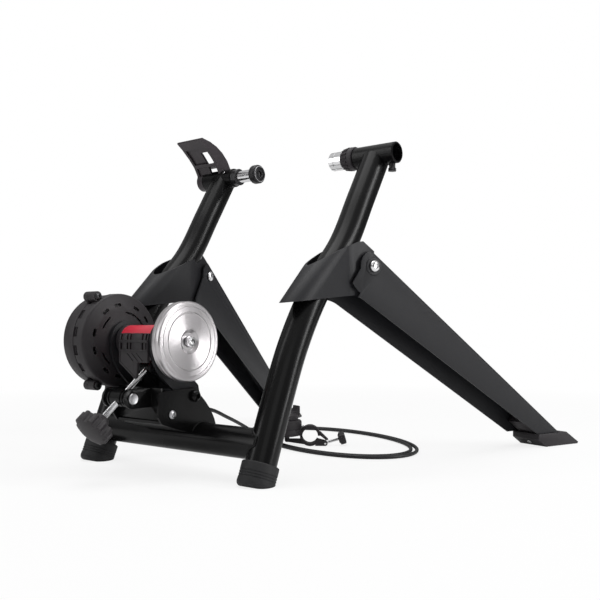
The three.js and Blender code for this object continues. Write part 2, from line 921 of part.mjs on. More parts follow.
// Turning group: roller, shaft, flywheel and the brake's rotor
const axisX = -unit.back;
const axisZ = unit.height;
const aboutShaft = (profile, segments = fine) => turned(profile, segments).translate(axisX, 0, axisZ);

function roller() {
  const { roller: radius, rollerHalf, shaft } = unit;
  const edge = radius / 12;
  return aboutShaft([
    [shaft + fit, -rollerHalf],
    [radius - edge, -rollerHalf],
    [radius, edge - rollerHalf],
    [radius, rollerHalf - edge],
    [radius - edge, rollerHalf],
    [shaft + fit, rollerHalf],
    [shaft + fit, -rollerHalf],
  ]);
}

function flywheel() {
  const { wheel, wheelFace, wheelBack, wheelHub, wheelHubBack, shaft } = unit;
  const lip = wheel / 24;
  return aboutShaft(
    [
      [shaft + fit, -wheelHubBack],
      [shaft + fit, lip * 1.5 - wheelFace],
      [wheelHub * 0.75, lip * 1.5 - wheelFace],
      [wheelHub, -wheelFace],
      [wheel * 0.72, -wheelFace],
      [wheel * 0.735, lip / 2 - wheelFace],
      [wheel * 0.75, -wheelFace],
      [wheel - lip, -wheelFace],
      [wheel, lip - wheelFace],
      [wheel, -wheelBack - lip],
      [wheel - lip, -wheelBack],
      [wheelHub, -wheelBack],
      [wheelHub, -wheelHubBack],
      [shaft + fit, -wheelHubBack],
    ],
    fine,
  );
}

function flywheelNut() {
  const { shaft: size, shaftRight, nutReach } = unit;
  const seat = -shaftRight - fit;
  return aboutShaft(
    [
      [0, seat - nutReach],
      [size * 0.7, seat - nutReach],
      [size * 1.1, seat - nutReach * 0.6],
      [size * 1.2, seat],
      [0, seat],
    ],
    medium,
  );
}

const shaft = () => aboutShaft(rodProfile(unit.shaft, -unit.shaftRight, unit.shaftLeft), medium);

const rotorDisc = () =>
  aboutShaft(
    [
      [unit.shaft + fit, unit.drumSeam - unit.bearing],
      [unit.wheelHub, unit.drumSeam - unit.bearing],
      [unit.wheelHub, unit.drumSeam - 3 * fit - unit.shell],
      [unit.wheel, unit.drumSeam - 3 * fit - unit.shell],
      [unit.wheel, unit.drumSeam - 3 * fit],
      [unit.shaft + fit, unit.drumSeam - 3 * fit],
      [unit.shaft + fit, unit.drumSeam - unit.bearing],
    ],
    medium,
  );

place("roller", roller(), redRubber());
place("roller_shaft", shaft(), steel());
place("flywheel", flywheel(), finish(0xc9cacd, 0.25, 1));
place("flywheel_nut", flywheelNut(), chrome());
place("rotor_disc", rotorDisc(), steel());

// Bearings in the yoke's heads
function bearing(from) {
  return aboutShaft(
    tubeProfile(unit.bearing, unit.shaft + fit, from, from + unit.bearingLength),
    medium,
  );
}

const bearingSeat = yoke.armInner + yoke.armWall + yoke.bossLength - unit.bearingLength;
place("bearing_left", bearing(bearingSeat), steel());
place("bearing_right", bearing(-bearingSeat - unit.bearingLength), steel());

// Yoke: two arms from the pivot sleeve to the bearing bosses, with a web and the rod's lugs
const swivel = [-rod.swivelBack, rod.swivelHeight];
const rodAlong = (distance) => [
  swivel[0] + distance * Math.cos(rod.angle),
  swivel[1] + distance * Math.sin(rod.angle),
];
const rodEnd = rodAlong(rod.above);

function yokeArm() {
  const { pivotBack, pivotHeight, pivotRadius, head } = yoke;
  const x = -pivotBack;
  const shape = new THREE.Shape();
  shape.moveTo(x + pivotRadius, pivotHeight);
  shape.lineTo(x + pivotRadius * 0.8, pivotHeight + pivotRadius);
  shape.quadraticCurveTo(x - pivotRadius * 1.1, pivotHeight + 2.6 * pivotRadius, axisX + head, axisZ);
  shape.absarc(axisX, axisZ, head, 0, 1.08 * Math.PI, false);
  shape.quadraticCurveTo(axisX - head, pivotHeight + 2.6 * pivotRadius, x - 2.1 * pivotRadius, pivotHeight + pivotRadius * 0.5);
  shape.lineTo(x - pivotRadius, pivotHeight - pivotRadius * 0.5);
  shape.absarc(x, pivotHeight, pivotRadius, 1.17 * Math.PI, 2 * Math.PI, false);
  shape.closePath();
  return shape;
}

function yokeBody() {
  const { armInner, armWall, bossLength, webBack, webWall, webLow, webHigh, sleeve } = yoke;
  const outer = armInner + armWall;
  const arms = [
    alongY(yokeArm(), armInner, outer, coarse / 2),
    alongY(yokeArm(), -outer, -armInner, coarse / 2),
  ];
  const boss = unit.bearing + armWall;
  const bosses = [
    aboutShaft(rodProfile(boss, armInner, outer + bossLength), medium),
    aboutShaft(rodProfile(boss, -outer - bossLength, -armInner), medium),
  ];
  const web = block(-webBack, webWall - webBack, fit - outer, outer - fit, webLow, webHigh);
  const bridge = pinY(sleeve, fit - outer, outer - fit, -yoke.pivotBack, yoke.pivotHeight, medium);
  const lugShape = outline([
    [webWall / 2 - webBack, webLow + 2 * fit],
    [webWall / 2 - webBack, webHigh - fit],
    [rodEnd[0], rodEnd[1] + yoke.lugRadius * 0.7],
    [rodEnd[0] - yoke.lugRadius, rodEnd[1]],
    [rodEnd[0], rodEnd[1] - yoke.lugRadius],
  ]);
  const { lugInner, lugWall } = yoke;
  const lugs = [
    alongY(lugShape, lugInner, lugInner + lugWall),
    alongY(lugShape, -lugInner - lugWall, -lugInner),
  ];
  const body = join(...arms, ...bosses, web, bridge, ...lugs);
  const clear = unit.bearing + fit;
  const seats = [
    aboutShaft(rodProfile(clear, bearingSeat - fit, overrun), medium),
    aboutShaft(rodProfile(clear, -overrun, fit - bearingSeat), medium),
    aboutShaft(rodProfile(unit.shaft + 3 * fit, -overrun, overrun), medium),
  ];
  const pivotHole = pinY(bracket.bolt + fit, -overrun, overrun, -yoke.pivotBack, yoke.pivotHeight, coarse);
  const pinHole = pinY(rod.pin + fit, -overrun / 2, overrun / 2, rodEnd[0], rodEnd[1], coarse);
  return cut(body, ...seats, pivotHole, pinHole);
}

place("yoke", yokeBody(), greyCoat());

// Guard: a slotted shell round the back of the roller, with a skirt below
function guardBody() {
  const { inner, wall, left, right, top, skirt, rib } = guard;
  const outer = inner + wall;
  const topAngle = Math.PI - THREE.MathUtils.degToRad(top);
  const arc = new THREE.Shape();
  arc.absarc(axisX, axisZ, outer, topAngle, 1.28 * Math.PI, false);
  arc.absarc(axisX, axisZ, inner, 1.28 * Math.PI, topAngle, true);
  arc.closePath();
  const shell = alongY(arc, -right, left, coarse / 2);
  const back = axisX - outer;
  const plate = outline([
    [left, axisZ],
    [left, axisZ - outer],
    [-right / 3, skirt],
    [-right, skirt],
    [-right, axisZ],
  ]);
  const skirtPlate = alongX(plate, back, back + wall);
  const ledges = [1, 2].map((row) => {
    const z = axisZ + outer * 0.42 - row * outer * 0.42;
    return block(back - rib, back + wall, -right, left, z - rib / 2, z + rib / 2);
  });
  const slots = [];
  const pitch = (left + right) / 12;
  for (let i = 0; i < 10; i += 1) {
    if (i === 4 || i === 5) continue;
    const y = left - pitch * (i + 1);
    const half = pitch * 0.28;
    slots.push(block(back - overrun, back + inner / 2, y - half, y + half, axisZ + rib, axisZ + outer * 0.33));
    slots.push(block(back - overrun, back + inner / 2, y - half, y + half, axisZ - outer * 0.34, axisZ - rib));
  }
  return cut(join(shell, skirtPlate, ...ledges), ...slots);
}

place("roller_guard", guardBody(), blackPlastic());

// Brake drum: a domed, slotted inner shell and a dished outer shell, joined at three lugs
const shortSlotDegrees = [10, 36, 63, 101, 127, 167, 195, 234, 260, 300, 326];
const longSlotDegrees = [41, 71, 140, 219];
const lugDegrees = [0, 120, 240];

function arcSlot(radius, width, centre, span) {
  const half = THREE.MathUtils.degToRad(span / 2);
  const middle = THREE.MathUtils.degToRad(centre);
  const shape = new THREE.Shape();
  shape.absarc(axisX, axisZ, radius + width / 2, middle - half, middle + half, false);
  shape.absarc(axisX, axisZ, radius - width / 2, middle + half, middle - half, true);
  shape.closePath();
  return shape;
}

const lugPlace = (degrees) => {
  const a = THREE.MathUtils.degToRad(degrees);
  return [axisX + unit.lugReach * Math.cos(a), axisZ + unit.lugReach * Math.sin(a)];
};

function drumInner() {
  const { drum, drumFace, drumSeam, shell, lugRadius } = unit;
  const hubFace = yoke.armInner + yoke.armWall + fit;
  const hub = unit.bearing + yoke.armWall + fit;
  const body = aboutShaft([
    [hub, hubFace],
    [drum * 0.75, hubFace + shell],
    [drum * 0.91, drumFace - shell / 2],
    [drum * 0.98, drumFace + shell / 2],
    [drum, drumFace + shell * 1.5],
    [drum, drumSeam],
    [drum - shell, drumSeam],
    [drum - shell, drumFace + shell * 1.8],
    [drum * 0.88, drumFace + shell * 0.8],
    [drum * 0.74, hubFace + 2 * shell],
    [hub, hubFace + shell],
    [hub, hubFace],
  ]);
  const lugs = lugDegrees.map((d) => pinY(lugRadius, drumFace + shell * 2, drumSeam, ...lugPlace(d), screwSides));
  const holes = lugDegrees.map((d) => pinY(lugRadius / 3 + fit, 0, 2 * overrun, ...lugPlace(d), screwSides));
  const far = drumSeam;
  const short = shortSlotDegrees.map((d) => alongY(arcSlot(drum * 0.765, shell * 0.8, d, 8), 0, far, 1));
  const long = longSlotDegrees.map((d) => alongY(arcSlot(drum * 0.6, shell * 0.55, d, 26), 0, far, 3));
  return cut(join(body, ...lugs), ...holes, ...short, ...long);
}

const drumRim = unit.drum - unit.shell * 0.6;
const drumBore = drumRim - unit.shell;

function drumOuter() {
  const { drum, drumSeam, drumEnd, shell, lugRadius } = unit;
  const step = drumSeam + fit;
  const rim = drumRim;
  const body = aboutShaft([
    [drumBore, step],
    [rim, step],
    [rim, step + shell],
    [drum * 0.985, step + shell * 1.2],
    [drum * 0.97, drumEnd - 3 * shell],
    [drum * 0.9, drumEnd - shell],
    [drum * 0.78, drumEnd],
    [unit.wheelHub, drumEnd],
    [unit.wheelHub * 0.8, drumEnd - shell],
    [unit.wheelHub * 0.8, drumEnd - 2 * shell],
    [drum * 0.76, drumEnd - shell],
    [drum * 0.88, drumEnd - 2.2 * shell],
    [drumBore, drumEnd - 4 * shell],
    [drumBore, step],
  ]);
  const lugs = lugDegrees.map((d) => pinY(lugRadius, step, step + shell * 3, ...lugPlace(d), screwSides));
  const holes = lugDegrees.map((d) => pinY(lugRadius / 3 + fit, 0, 2 * overrun, ...lugPlace(d), screwSides));
  const notches = [];
  for (let i = 0; i < 16; i += 1) {
    if (i % 4 === 3) continue;
    const a = ((i + 0.5) * Math.PI) / 8;
    const notch = block(-shell, shell * 0.9, 0, shell, -shell, shell).rotateY(-a);
    notches.push(notch.translate(axisX + rim * Math.cos(a), step - fit, axisZ + rim * Math.sin(a)));
  }
  const gland = pinZ(cable.radius * 2, axisZ - drum - 3 * cable.radius, axisZ - drumBore - fit, ...glandPlace, coarse);
  const bore = pinZ(cable.radius + fit, 0, axisZ - drum + shell, ...glandPlace, coarse / 2);
  const wire = pinZ(cable.radius + fit, 0, glandSeat, ...glandPlace, coarse / 2);
  return cut(join(body, ...lugs, gland), ...holes, ...notches, bore, wire);
}

const glandPlace = [cableRoute[0][0], cableRoute[0][1]];
const glandSeat = axisZ - unit.drum;

function lugScrew(degrees) {
  const { drumFace, drumSeam, shell, lugRadius } = unit;
  const [x, z] = lugPlace(degrees);
  const length = drumSeam - drumFace + shell;
  const screw = domeScrew(lugRadius / 3, length, lugRadius * 0.7, lugRadius / 3, screwSides);
  return screw.rotateX(Math.PI / 2).translate(x, drumFace + 2 * shell - fit, z);
}

place("drum_inner_shell", drumInner(), blackPlastic());
place("drum_outer_shell", drumOuter(), blackPlastic());
lugDegrees.forEach((degrees, i) => place("drum_screw_" + (i + 1), lugScrew(degrees), steel()));

// Magnet carrier inside the drum, which the cable draws away from the rotor
const carrier = { gap: 1.2, thickness: 6, radius: drumBore - fit, bore: 13.6, pocket: 3 };

function magnetCarrier() {
  const from = unit.drumSeam + carrier.gap;
  const { thickness, radius, bore, pocket } = carrier;
  return aboutShaft(
    [
      [bore, from],
      [radius * 0.55, from],
      [radius * 0.55, from + pocket],
      [radius * 0.9, from + pocket],
      [radius * 0.9, from],
      [radius, from],
      [radius, from + thickness],
      [bore, from + thickness],
      [bore, from],
    ],
    fine,
  );
}

function magnetRing() {
  const from = unit.drumSeam + carrier.gap;
  const { radius, pocket } = carrier;
  return aboutShaft(tubeProfile(radius * 0.9 - fit, radius * 0.55 + fit, from, from + pocket - fit), fine);
}

place("magnet_carrier", magnetCarrier(), blackPlastic());
place("magnet_ring", magnetRing(), steel());

// Bracket: two cheeks and two webs over the cross tube
const cheekFrontShares = [
  [-0.893, 1.24],
  [-0.9, 1.36],
  [-0.91, 1.51],
  [-0.938, 1.77],
  [-0.98, 2.03],
  [-1.014, 2.2],
];
const cheekBackShares = [
  [-1.06, 2.41],
  [-1.27, 2.38],
  [-1.31, 2.3],
  [-1.31, 1.69],
  [-1.285, 1.5],
  [-1.22, 1.38],
  [-1.1, 1.2],
  [-1, 1.2],
];

function bracketBody() {
  const { half, wall, web } = bracket;
  const scaled = ([x, z]) => [x * cross.back, z * cross.height];
  const front = cheekFrontShares.map(scaled);
  const back = cheekBackShares.map(scaled);
  const shape = new THREE.Shape();
  shape.moveTo(...front[0]);
  front.slice(1).forEach((p) => shape.lineTo(...p));
  shape.absarc(-yoke.pivotBack, yoke.pivotHeight, bracket.round, 0.1 * Math.PI, Math.PI / 2, false);
  back.forEach((p) => shape.lineTo(...p));
  shape.closePath();
  const cheeks = [alongY(shape, half - wall, half), alongY(shape, -half, wall - half)];
  const lower = outline([
    [back[4][0], back[4][1]],
    [back[6][0], back[6][1]],
    [back[6][0], back[6][1] + web],
    [back[4][0], back[4][1] + web],
  ]);
  const inside = half - fit;
  const floor = alongY(lower, -inside, inside);
  const face = outline([front[0], front[1], front[2], front[3], ...[3, 2, 1, 0].map((i) => [front[i][0] - web, front[i][1]])]);
  const nose = alongY(face, -inside, inside);
  const clearance = pinY(cross.radius + fit, -overrun, overrun, -cross.back, cross.height, medium);
  const pivot = pinY(bracket.bolt + fit, -overrun, overrun, -yoke.pivotBack, yoke.pivotHeight, coarse);
  const tie = pinY(bracket.tieRadius + fit, -overrun, overrun, -bracket.tieBack, bracket.tieHeight, coarse);
  return cut(join(...cheeks, floor, nose), clearance, pivot, tie);
}

place("base_bracket", bracketBody(), blackPaint());

// Ears that carry the swivel nut
function earBody() {
  const { inner, wall, round, plateBack, plateWall } = ears;
  const ear = new THREE.Shape();
  ear.moveTo(-plateBack, swivel[1] - round);
  ear.lineTo(-plateBack, swivel[1] + round);
  ear.lineTo(swivel[0], swivel[1] + round);
  ear.absarc(...swivel, round, Math.PI / 2, (3 * Math.PI) / 2, false);
  ear.closePath();
  const cheeks = [alongY(ear, inner, inner + wall), alongY(ear, -inner - wall, -inner)];
  const half = bracket.half - bracket.wall - fit;
  const low = bracket.tieHeight - 1.2 * bracket.tieHead;
  const plate = block(-plateBack - plateWall, -plateBack + fit, -half, half, low, swivel[1] + round - fit);
  const hole = pinY(rod.swivelPin + fit, -overrun, overrun, ...swivel, coarse);
  return cut(join(...cheeks, plate), hole);
}

place("adjuster_ears", earBody(), blackPaint());

// Bolts through the bracket
const boltSeat = bracket.half + fit;

function throughBolt(x, z, radius, far, head, headHeight) {
  const screw = domeScrew(radius, boltSeat + far, head, headHeight);
  return screw.rotateX(Math.PI / 2).translate(x, -boltSeat, z);
}

const pivotPlace = [-yoke.pivotBack, yoke.pivotHeight];
const tiePlace = [-bracket.tieBack, bracket.tieHeight];
const { boltHead, boltHeadHeight, nutHeight, tieRadius, tieHead, tieHeadHeight } = bracket;

const pivotBolt = () =>
  throughBolt(...pivotPlace, bracket.bolt, boltSeat + 1.2 * nutHeight, boltHead, boltHeadHeight);

const pivotNut = () =>
  nut(boltHead, bracket.bolt, boltSeat, boltSeat + nutHeight).translate(pivotPlace[0], 0, pivotPlace[1]);

const tieBolt = () =>
  throughBolt(...tiePlace, tieRadius, boltSeat + tieHeadHeight, tieHead, tieHeadHeight);

place("pivot_bolt", pivotBolt(), blackPaint());
place("pivot_nut", pivotNut(), steel());
place("tie_bolt", tieBolt(), steel());

// Adjuster: swivel nut, threaded rod with its eye, pin, and lobed knob
const swivelGrooveShares = [-0.92, -0.64, 0.5, 0.78];

function swivelNut() {
  const { swivel: radius, swivelGroove, swivelPin } = rod;
  const half = ears.inner - fit;
  const end = ears.inner + ears.wall + fit;
  const groove = half / 7;
  const profile = [
    [0, -end],
    [swivelPin, -end],
    [swivelPin, -half],
    [radius, -half],
  ];
  for (const share of swivelGrooveShares) {
    const y = share * half;
    profile.push([radius, y], [radius - swivelGroove, y], [radius - swivelGroove, y + groove], [radius, y + groove]);
  }
  profile.push([radius, half], [swivelPin, half], [swivelPin, end], [0, end]);
  const body = turned(profile, coarse).translate(swivel[0], 0, swivel[1]);
  return cut(join(body), alongRod(rodProfile(rod.radius + fit, -overrun, overrun), coarse));
}

// A profile turned about the rod, with its distance measured from the swivel
function alongRod(profile, segments = medium) {
  const body = turned(profile, segments).rotateZ(-Math.PI / 2).rotateY(-rod.angle);
  return body.translate(swivel[0], 0, swivel[1]);
}

function threadedRod() {
  const stem = alongRod(rodProfile(rod.radius, -rod.below, rod.above), coarse);
  const eye = pinY(rod.eye, -rod.eyeHalf, rod.eyeHalf, ...rodEnd, medium);
  const hole = pinY(rod.pin + fit, -overrun, overrun, ...rodEnd, coarse);
  return cut(join(stem, eye), hole);
}

const rodPin = () => {
  const end = yoke.lugInner + yoke.lugWall + fit;
  return pinY(rod.pin, -end, end, ...rodEnd, coarse);
};

function knobBody() {
  const { radius, lobes, lobeShare, thickness, hub, hubLength, seat } = knob;
  const shape = loop(lobes * 6, (a) => radius * (1 - lobeShare + lobeShare * Math.cos(lobes * a)));
  const grip = new THREE.ExtrudeGeometry(shape, {
    depth: thickness * 0.7,
    bevelEnabled: true,
    bevelThickness: thickness * 0.15,
    bevelSize: thickness * 0.12,
    bevelOffset: -thickness * 0.12,
    bevelSegments: 2,
  });
  grip.rotateY(Math.PI / 2).rotateY(-rod.angle);
  const from = -seat - hubLength - thickness * 0.85;
  const origin = rodAlong(from);
  grip.translate(origin[0], 0, origin[1]);
  const neck = alongRod(rodProfile(hub, -seat - hubLength - thickness / 2, -seat), medium);
  const bore = alongRod(rodProfile(rod.radius + fit, -rod.below - fit, overrun), coarse);
  return cut(join(grip, neck), bore);
}

place("swivel_nut", swivelNut(), blackPaint());
place("adjuster_rod", threadedRod(), chrome());
place("rod_pin", rodPin(), steel());
place("adjuster_knob", knobBody(), blackPlastic());

// Cable: a free run, a flat coil of two turns, and the tail into the remote
function cableTube(points, steps, sides) {
  const curve = new THREE.CatmullRomCurve3(
    points.map((p) => new THREE.Vector3(...p)),
    false,
    "centripetal",
  );
  return swept(loop(sides, () => cable.radius), curve, steps, 1);
}

function coilPoint(angle) {
  const along = new THREE.Vector2(Math.cos(coil.heading), Math.sin(coil.heading));
  const across = new THREE.Vector2(along.y, -along.x);
  const size = 1 - (coil.drawInShare * (angle - coil.start)) / (2 * Math.PI);
  const x = coil.x + size * (coil.long * Math.cos(angle) * along.x + coil.short * Math.sin(angle) * across.x);
  const y = coil.y + size * (coil.long * Math.cos(angle) * along.y + coil.short * Math.sin(angle) * across.y);
  return [x, y, cable.lift];
}

function coilPoints() {
  const turns = (coil.end - coil.start) / (2 * Math.PI);
  const count = Math.round(turns * cable.turnSteps);
  return Array.from({ length: count + 1 }, (_, i) =>
    coilPoint(coil.start + ((coil.end - coil.start) * i) / count),
  );
}

function leastCoilGap(points) {
  let least = Infinity;
  const apart = Math.round(cable.turnSteps * 0.6);
  points.forEach((a, i) =>
    points.slice(i + apart).forEach((b) => {
      least = Math.min(least, Math.hypot(a[0] - b[0], a[1] - b[1], a[2] - b[2]) - 2 * cable.radius);
    }),
  );
  return least;
}

const turnPoints = coilPoints();
console.log("least gap between the coil's turns:", leastCoilGap(turnPoints).toFixed(2), "mm");

// The run and the tail stop a fit short of the coil's ends and of what they enter
function shortened(points, atStart, atEnd) {
  const list = points.map((p) => new THREE.Vector3(...p));
  const pull = (a, b, by) => a.clone().addScaledVector(b.clone().sub(a).normalize(), by);
  const last = list.length - 1;
  const first = pull(list[0], list[1], atStart);
  const end = pull(list[last], list[last - 1], atEnd);
  return [first, ...list.slice(1, last), end].map((v) => v.toArray());
}

const runPoints = [...cableRoute, turnPoints[0]];
const tailPoints = [turnPoints[turnPoints.length - 1], ...cableTail];

place("cable_run", cableTube(shortened(runPoints, fit, 0), cable.runSteps, cable.sides), rubber());
place("cable_coil", cableTube(shortened(turnPoints, fit, fit), turnPoints.length - 1, cable.turnSides), rubber());
place("cable_tail", cableTube(shortened(tailPoints, 0, fit), cable.tailSteps, cable.sides), rubber());

// Remote: a puck with the upper jaw, the hinged lower jaw, and a swinging screw with its knob
const handset = new THREE.Group();
handset.position.set(remote.x, remote.y, remote.z);
handset.rotation.z = remote.turn;
trainer.add(handset);

const hingePlace = [-remote.hinge, -remote.hingeDrop];
const eyePlace = [remote.eyeOut, -remote.eyeDrop];
const jawEndShare = 1.86;

// The way that the cable takes into the puck
function cableEntry() {
  const [before, last] = cableTail.slice(-2).map((p) => new THREE.Vector3(...p));
  const direction = last.clone().sub(before).normalize();
  const line = new THREE.LineCurve3(before, last.clone().addScaledVector(direction, fit));
  const way = swept(loop(cable.sides, () => cable.radius + fit), line, 1, 1);
  handset.updateMatrix();
  return way.applyMatrix4(handset.matrix.clone().invert());
}

function remoteBody() {
  const { body, bodyLow, bodyHigh, skirt, bar, jaw, half, bridge } = remote;
  const puck = turned(
    [
      [0, bodyLow],
      [body - jaw, bodyLow],
      [body, bodyLow + skirt],
      [body, bodyHigh - jaw],
      [body - jaw, bodyHigh],
      [0, bodyHigh],
    ],
    medium,
  );
  puck.rotateX(Math.PI / 2).translate(-remote.bodyOut, 0, 0);
  const arch = new THREE.Shape();
  arch.absarc(0, 0, bar + jaw, 0, Math.PI, false);
  arch.absarc(0, 0, bar, Math.PI, 0, true);
  arch.closePath();
  const { flangeReach, flangeRise, flangeDrop } = remote;
  const flange = outline([
    [bar, 0],
    [bar + jaw, flangeRise],
    [flangeReach, -flangeDrop],
    [flangeReach - jaw, -flangeDrop],
    [bar + jaw, 0],
  ]);
  const arm = block(-remote.bodyOut, -bar - jaw / 2, -half, half, 0, bridge);
  const slot = block(bar + jaw, overrun, -remote.screw - fit, remote.screw + fit, -overrun, overrun);
  const handlebar = pinY(bar, -overrun, overrun, 0, 0, medium);
  const { lug, knuckle, pin } = remote;
  const [hingeX, hingeZ] = hingePlace;
  const lugShape = outline([
    [hingeX - knuckle, bodyLow + fit],
    [hingeX - knuckle, hingeZ],
    [hingeX, hingeZ - knuckle],
    [hingeX + knuckle, hingeZ],
    [hingeX + knuckle, bodyLow + fit],
  ]);
  const lugs = [alongY(lugShape, -half, lug - half), alongY(lugShape, half - lug, half)];
  const hingePin = pinY(pin, -half, half, hingeX, hingeZ, coarse);
  const bands = [alongY(arch, -half, half, medium / 2), alongY(flange, -half, half), arm];
  const whole = join(puck, ...bands, ...lugs, hingePin);
  return cut(whole, handlebar, slot, cableEntry());
}

// Cap that turns on the puck, with its thumb tip
function remoteLever() {
  const { bodyHigh, bodyOut } = remote;
  const { radius, height, heading, tip, tipRoot, rise, width, lip } = dial;
  const low = bodyHigh + fit;
  const cap = turned(
    [
      [0, low],
      [radius, low],
      [radius, low + height / 2],
      [radius - lip, low + height - lip],
      [tipRoot, low + height],
      [0, low + height],
    ],
    medium,
  ).rotateX(Math.PI / 2);
  const side = outline([
    [tipRoot, low + lip],
    [radius - lip, low + lip],
    [tip, low + height],
    [tip, low + height + rise - lip],
    [tip - lip, low + height + rise],
    [tip - 2 * lip, low + height + rise],
    [tipRoot, low + height],
  ]);
  const thumb = alongY(side, -width / 2, width / 2);
  return joined(cap, thumb).rotateZ(heading).translate(-bodyOut, 0, 0);
}

function lowerJaw() {
  const { bar, jaw, half, lug, knuckle, eye, eyeHalf, trunnion, pin } = remote;
  const arc = new THREE.Shape();
  arc.absarc(0, 0, bar + jaw, 1.04 * Math.PI, jawEndShare * Math.PI, false);
  arc.absarc(0, 0, bar, jawEndShare * Math.PI, 1.04 * Math.PI, true);
  arc.closePath();
  const ear = outline([
    [bar - jaw, -bar - jaw + fit],
    [eyePlace[0], eyePlace[1] - eye],
    [eyePlace[0] + eye, eyePlace[1]],
    [eyePlace[0], eyePlace[1] + eye],
    [bar, -bar / 2],
  ]);
  const link = outline([
    [hingePlace[0], hingePlace[1] - knuckle],
    [-bar / 2, -bar - jaw / 2],
    [-bar - jaw / 2, -bar / 2],
    [hingePlace[0], hingePlace[1]],
  ]);
  const inside = half - lug - fit;
  const body = join(
    alongY(arc, -half, half, medium / 2),
    alongY(ear, -half, half),
    alongY(link, -inside, inside),
    pinY(knuckle, -inside, inside, ...hingePlace, coarse),
  );
  const room = eye + 2 * fit;
  const slot = pinY(room, -eyeHalf - fit, eyeHalf + fit, ...eyePlace, coarse);
  const way = block(0, overrun, -eyeHalf - fit, eyeHalf + fit, -room, room).rotateY(-remote.screwRise);
  way.translate(eyePlace[0], 0, eyePlace[1]);
  const lift = block(-room, overrun, -eyeHalf - fit, eyeHalf + fit, 0, overrun);
  lift.translate(eyePlace[0], 0, eyePlace[1]);
  const handlebar = pinY(bar, -overrun, overrun, 0, 0, medium);
  const sideHoles = pinY(trunnion + fit, -overrun, overrun, ...eyePlace, coarse);
  const hingeHole = pinY(pin + fit, -overrun, overrun, ...hingePlace, coarse);
  return cut(body, slot, way, lift, handlebar, sideHoles, hingeHole);
}

// A profile turned about the swinging screw, with its distance measured from the eye
function alongScrew(profile, segments) {
  const body = turned(profile, segments).rotateZ(-Math.PI / 2).rotateY(-remote.screwRise);
  return body.translate(eyePlace[0], 0, eyePlace[1]);
}

function swingScrew() {
  const { screw, knobFrom, knobLength, eye, eyeHalf, trunnion, half } = remote;
  const stem = alongScrew(rodProfile(screw, 0, knobFrom + knobLength), coarse);
  const barrelEnd = pinY(eye, -eyeHalf, eyeHalf, ...eyePlace, coarse);
  return joined(stem, barrelEnd, pinY(trunnion, -half, half, ...eyePlace, coarse));
}

function screwKnob() {
  const { screw, knobFrom, knobLength, knob: radius, jaw } = remote;
  const end = knobFrom + knobLength;
  const profile = [
    [screw + fit, knobFrom],
    [jaw + screw, knobFrom],
    [radius, knobFrom + jaw / 2],
    [radius, end - jaw / 2],
    [radius - jaw / 2, end],
    [screw + fit, end],
    [screw + fit, knobFrom],
  ];
  return alongScrew(profile, coarse);
}

place("remote_body", remoteBody(), blackPlastic(), handset);
place("remote_lever", remoteLever(), blackPlastic(), handset);
place("remote_jaw", lowerJaw(), blackPlastic(), handset);
place("remote_screw", swingScrew(), chrome(), handset);
place("remote_knob", screwKnob(), blackPlastic(), handset);

export default root;
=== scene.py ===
import math

import bmesh
import bpy
from bpy.props import FloatProperty, FloatVectorProperty, PointerProperty
from mathutils import Matrix, Vector


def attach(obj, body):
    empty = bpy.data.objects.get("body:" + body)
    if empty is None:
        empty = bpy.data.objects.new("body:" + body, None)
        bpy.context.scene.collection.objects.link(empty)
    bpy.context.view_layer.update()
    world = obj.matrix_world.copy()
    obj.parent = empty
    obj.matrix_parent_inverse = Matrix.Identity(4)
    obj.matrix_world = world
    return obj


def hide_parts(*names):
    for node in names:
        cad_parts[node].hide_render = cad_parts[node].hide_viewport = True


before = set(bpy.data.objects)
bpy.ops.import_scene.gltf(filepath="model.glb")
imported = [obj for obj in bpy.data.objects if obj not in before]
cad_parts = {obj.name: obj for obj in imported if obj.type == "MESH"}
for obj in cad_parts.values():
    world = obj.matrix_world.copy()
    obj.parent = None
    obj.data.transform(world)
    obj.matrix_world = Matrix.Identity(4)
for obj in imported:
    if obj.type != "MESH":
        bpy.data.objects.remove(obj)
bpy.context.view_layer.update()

bl_info = {
    "name": "Wheel-on turbo trainer",
    "version": (1, 0, 0),
    "blender": (4, 5, 0),
    "location": "View3D > Sidebar > Trainer",
    "description": "Builds the finished pieces of a wheel-on turbo trainer round its packed frame",
    "category": "Object",
}

# Lengths below are in millimetres from the axle line, the middle plane and the floor
MM = 0.001
ORIGIN_BEHIND_AXLE = 17.6
AXLE_HEIGHT = 390
OVERRUN = 60
FIT = 0.3
ROUND = 96
SMALL_ROUND = 40
CREASE = math.radians(32)
FLAT = math.radians(1)
WELD = 2e-3


# Sizes and colours that a user would change
def length(name, default, description):
    metres = default * MM
    return FloatProperty(name=name, default=metres, unit="LENGTH", description=description, precision=4)


def colour(name, default, description):
    return FloatVectorProperty(
        name=name, default=default, subtype="COLOR", size=3, min=0, max=1, description=description
    )


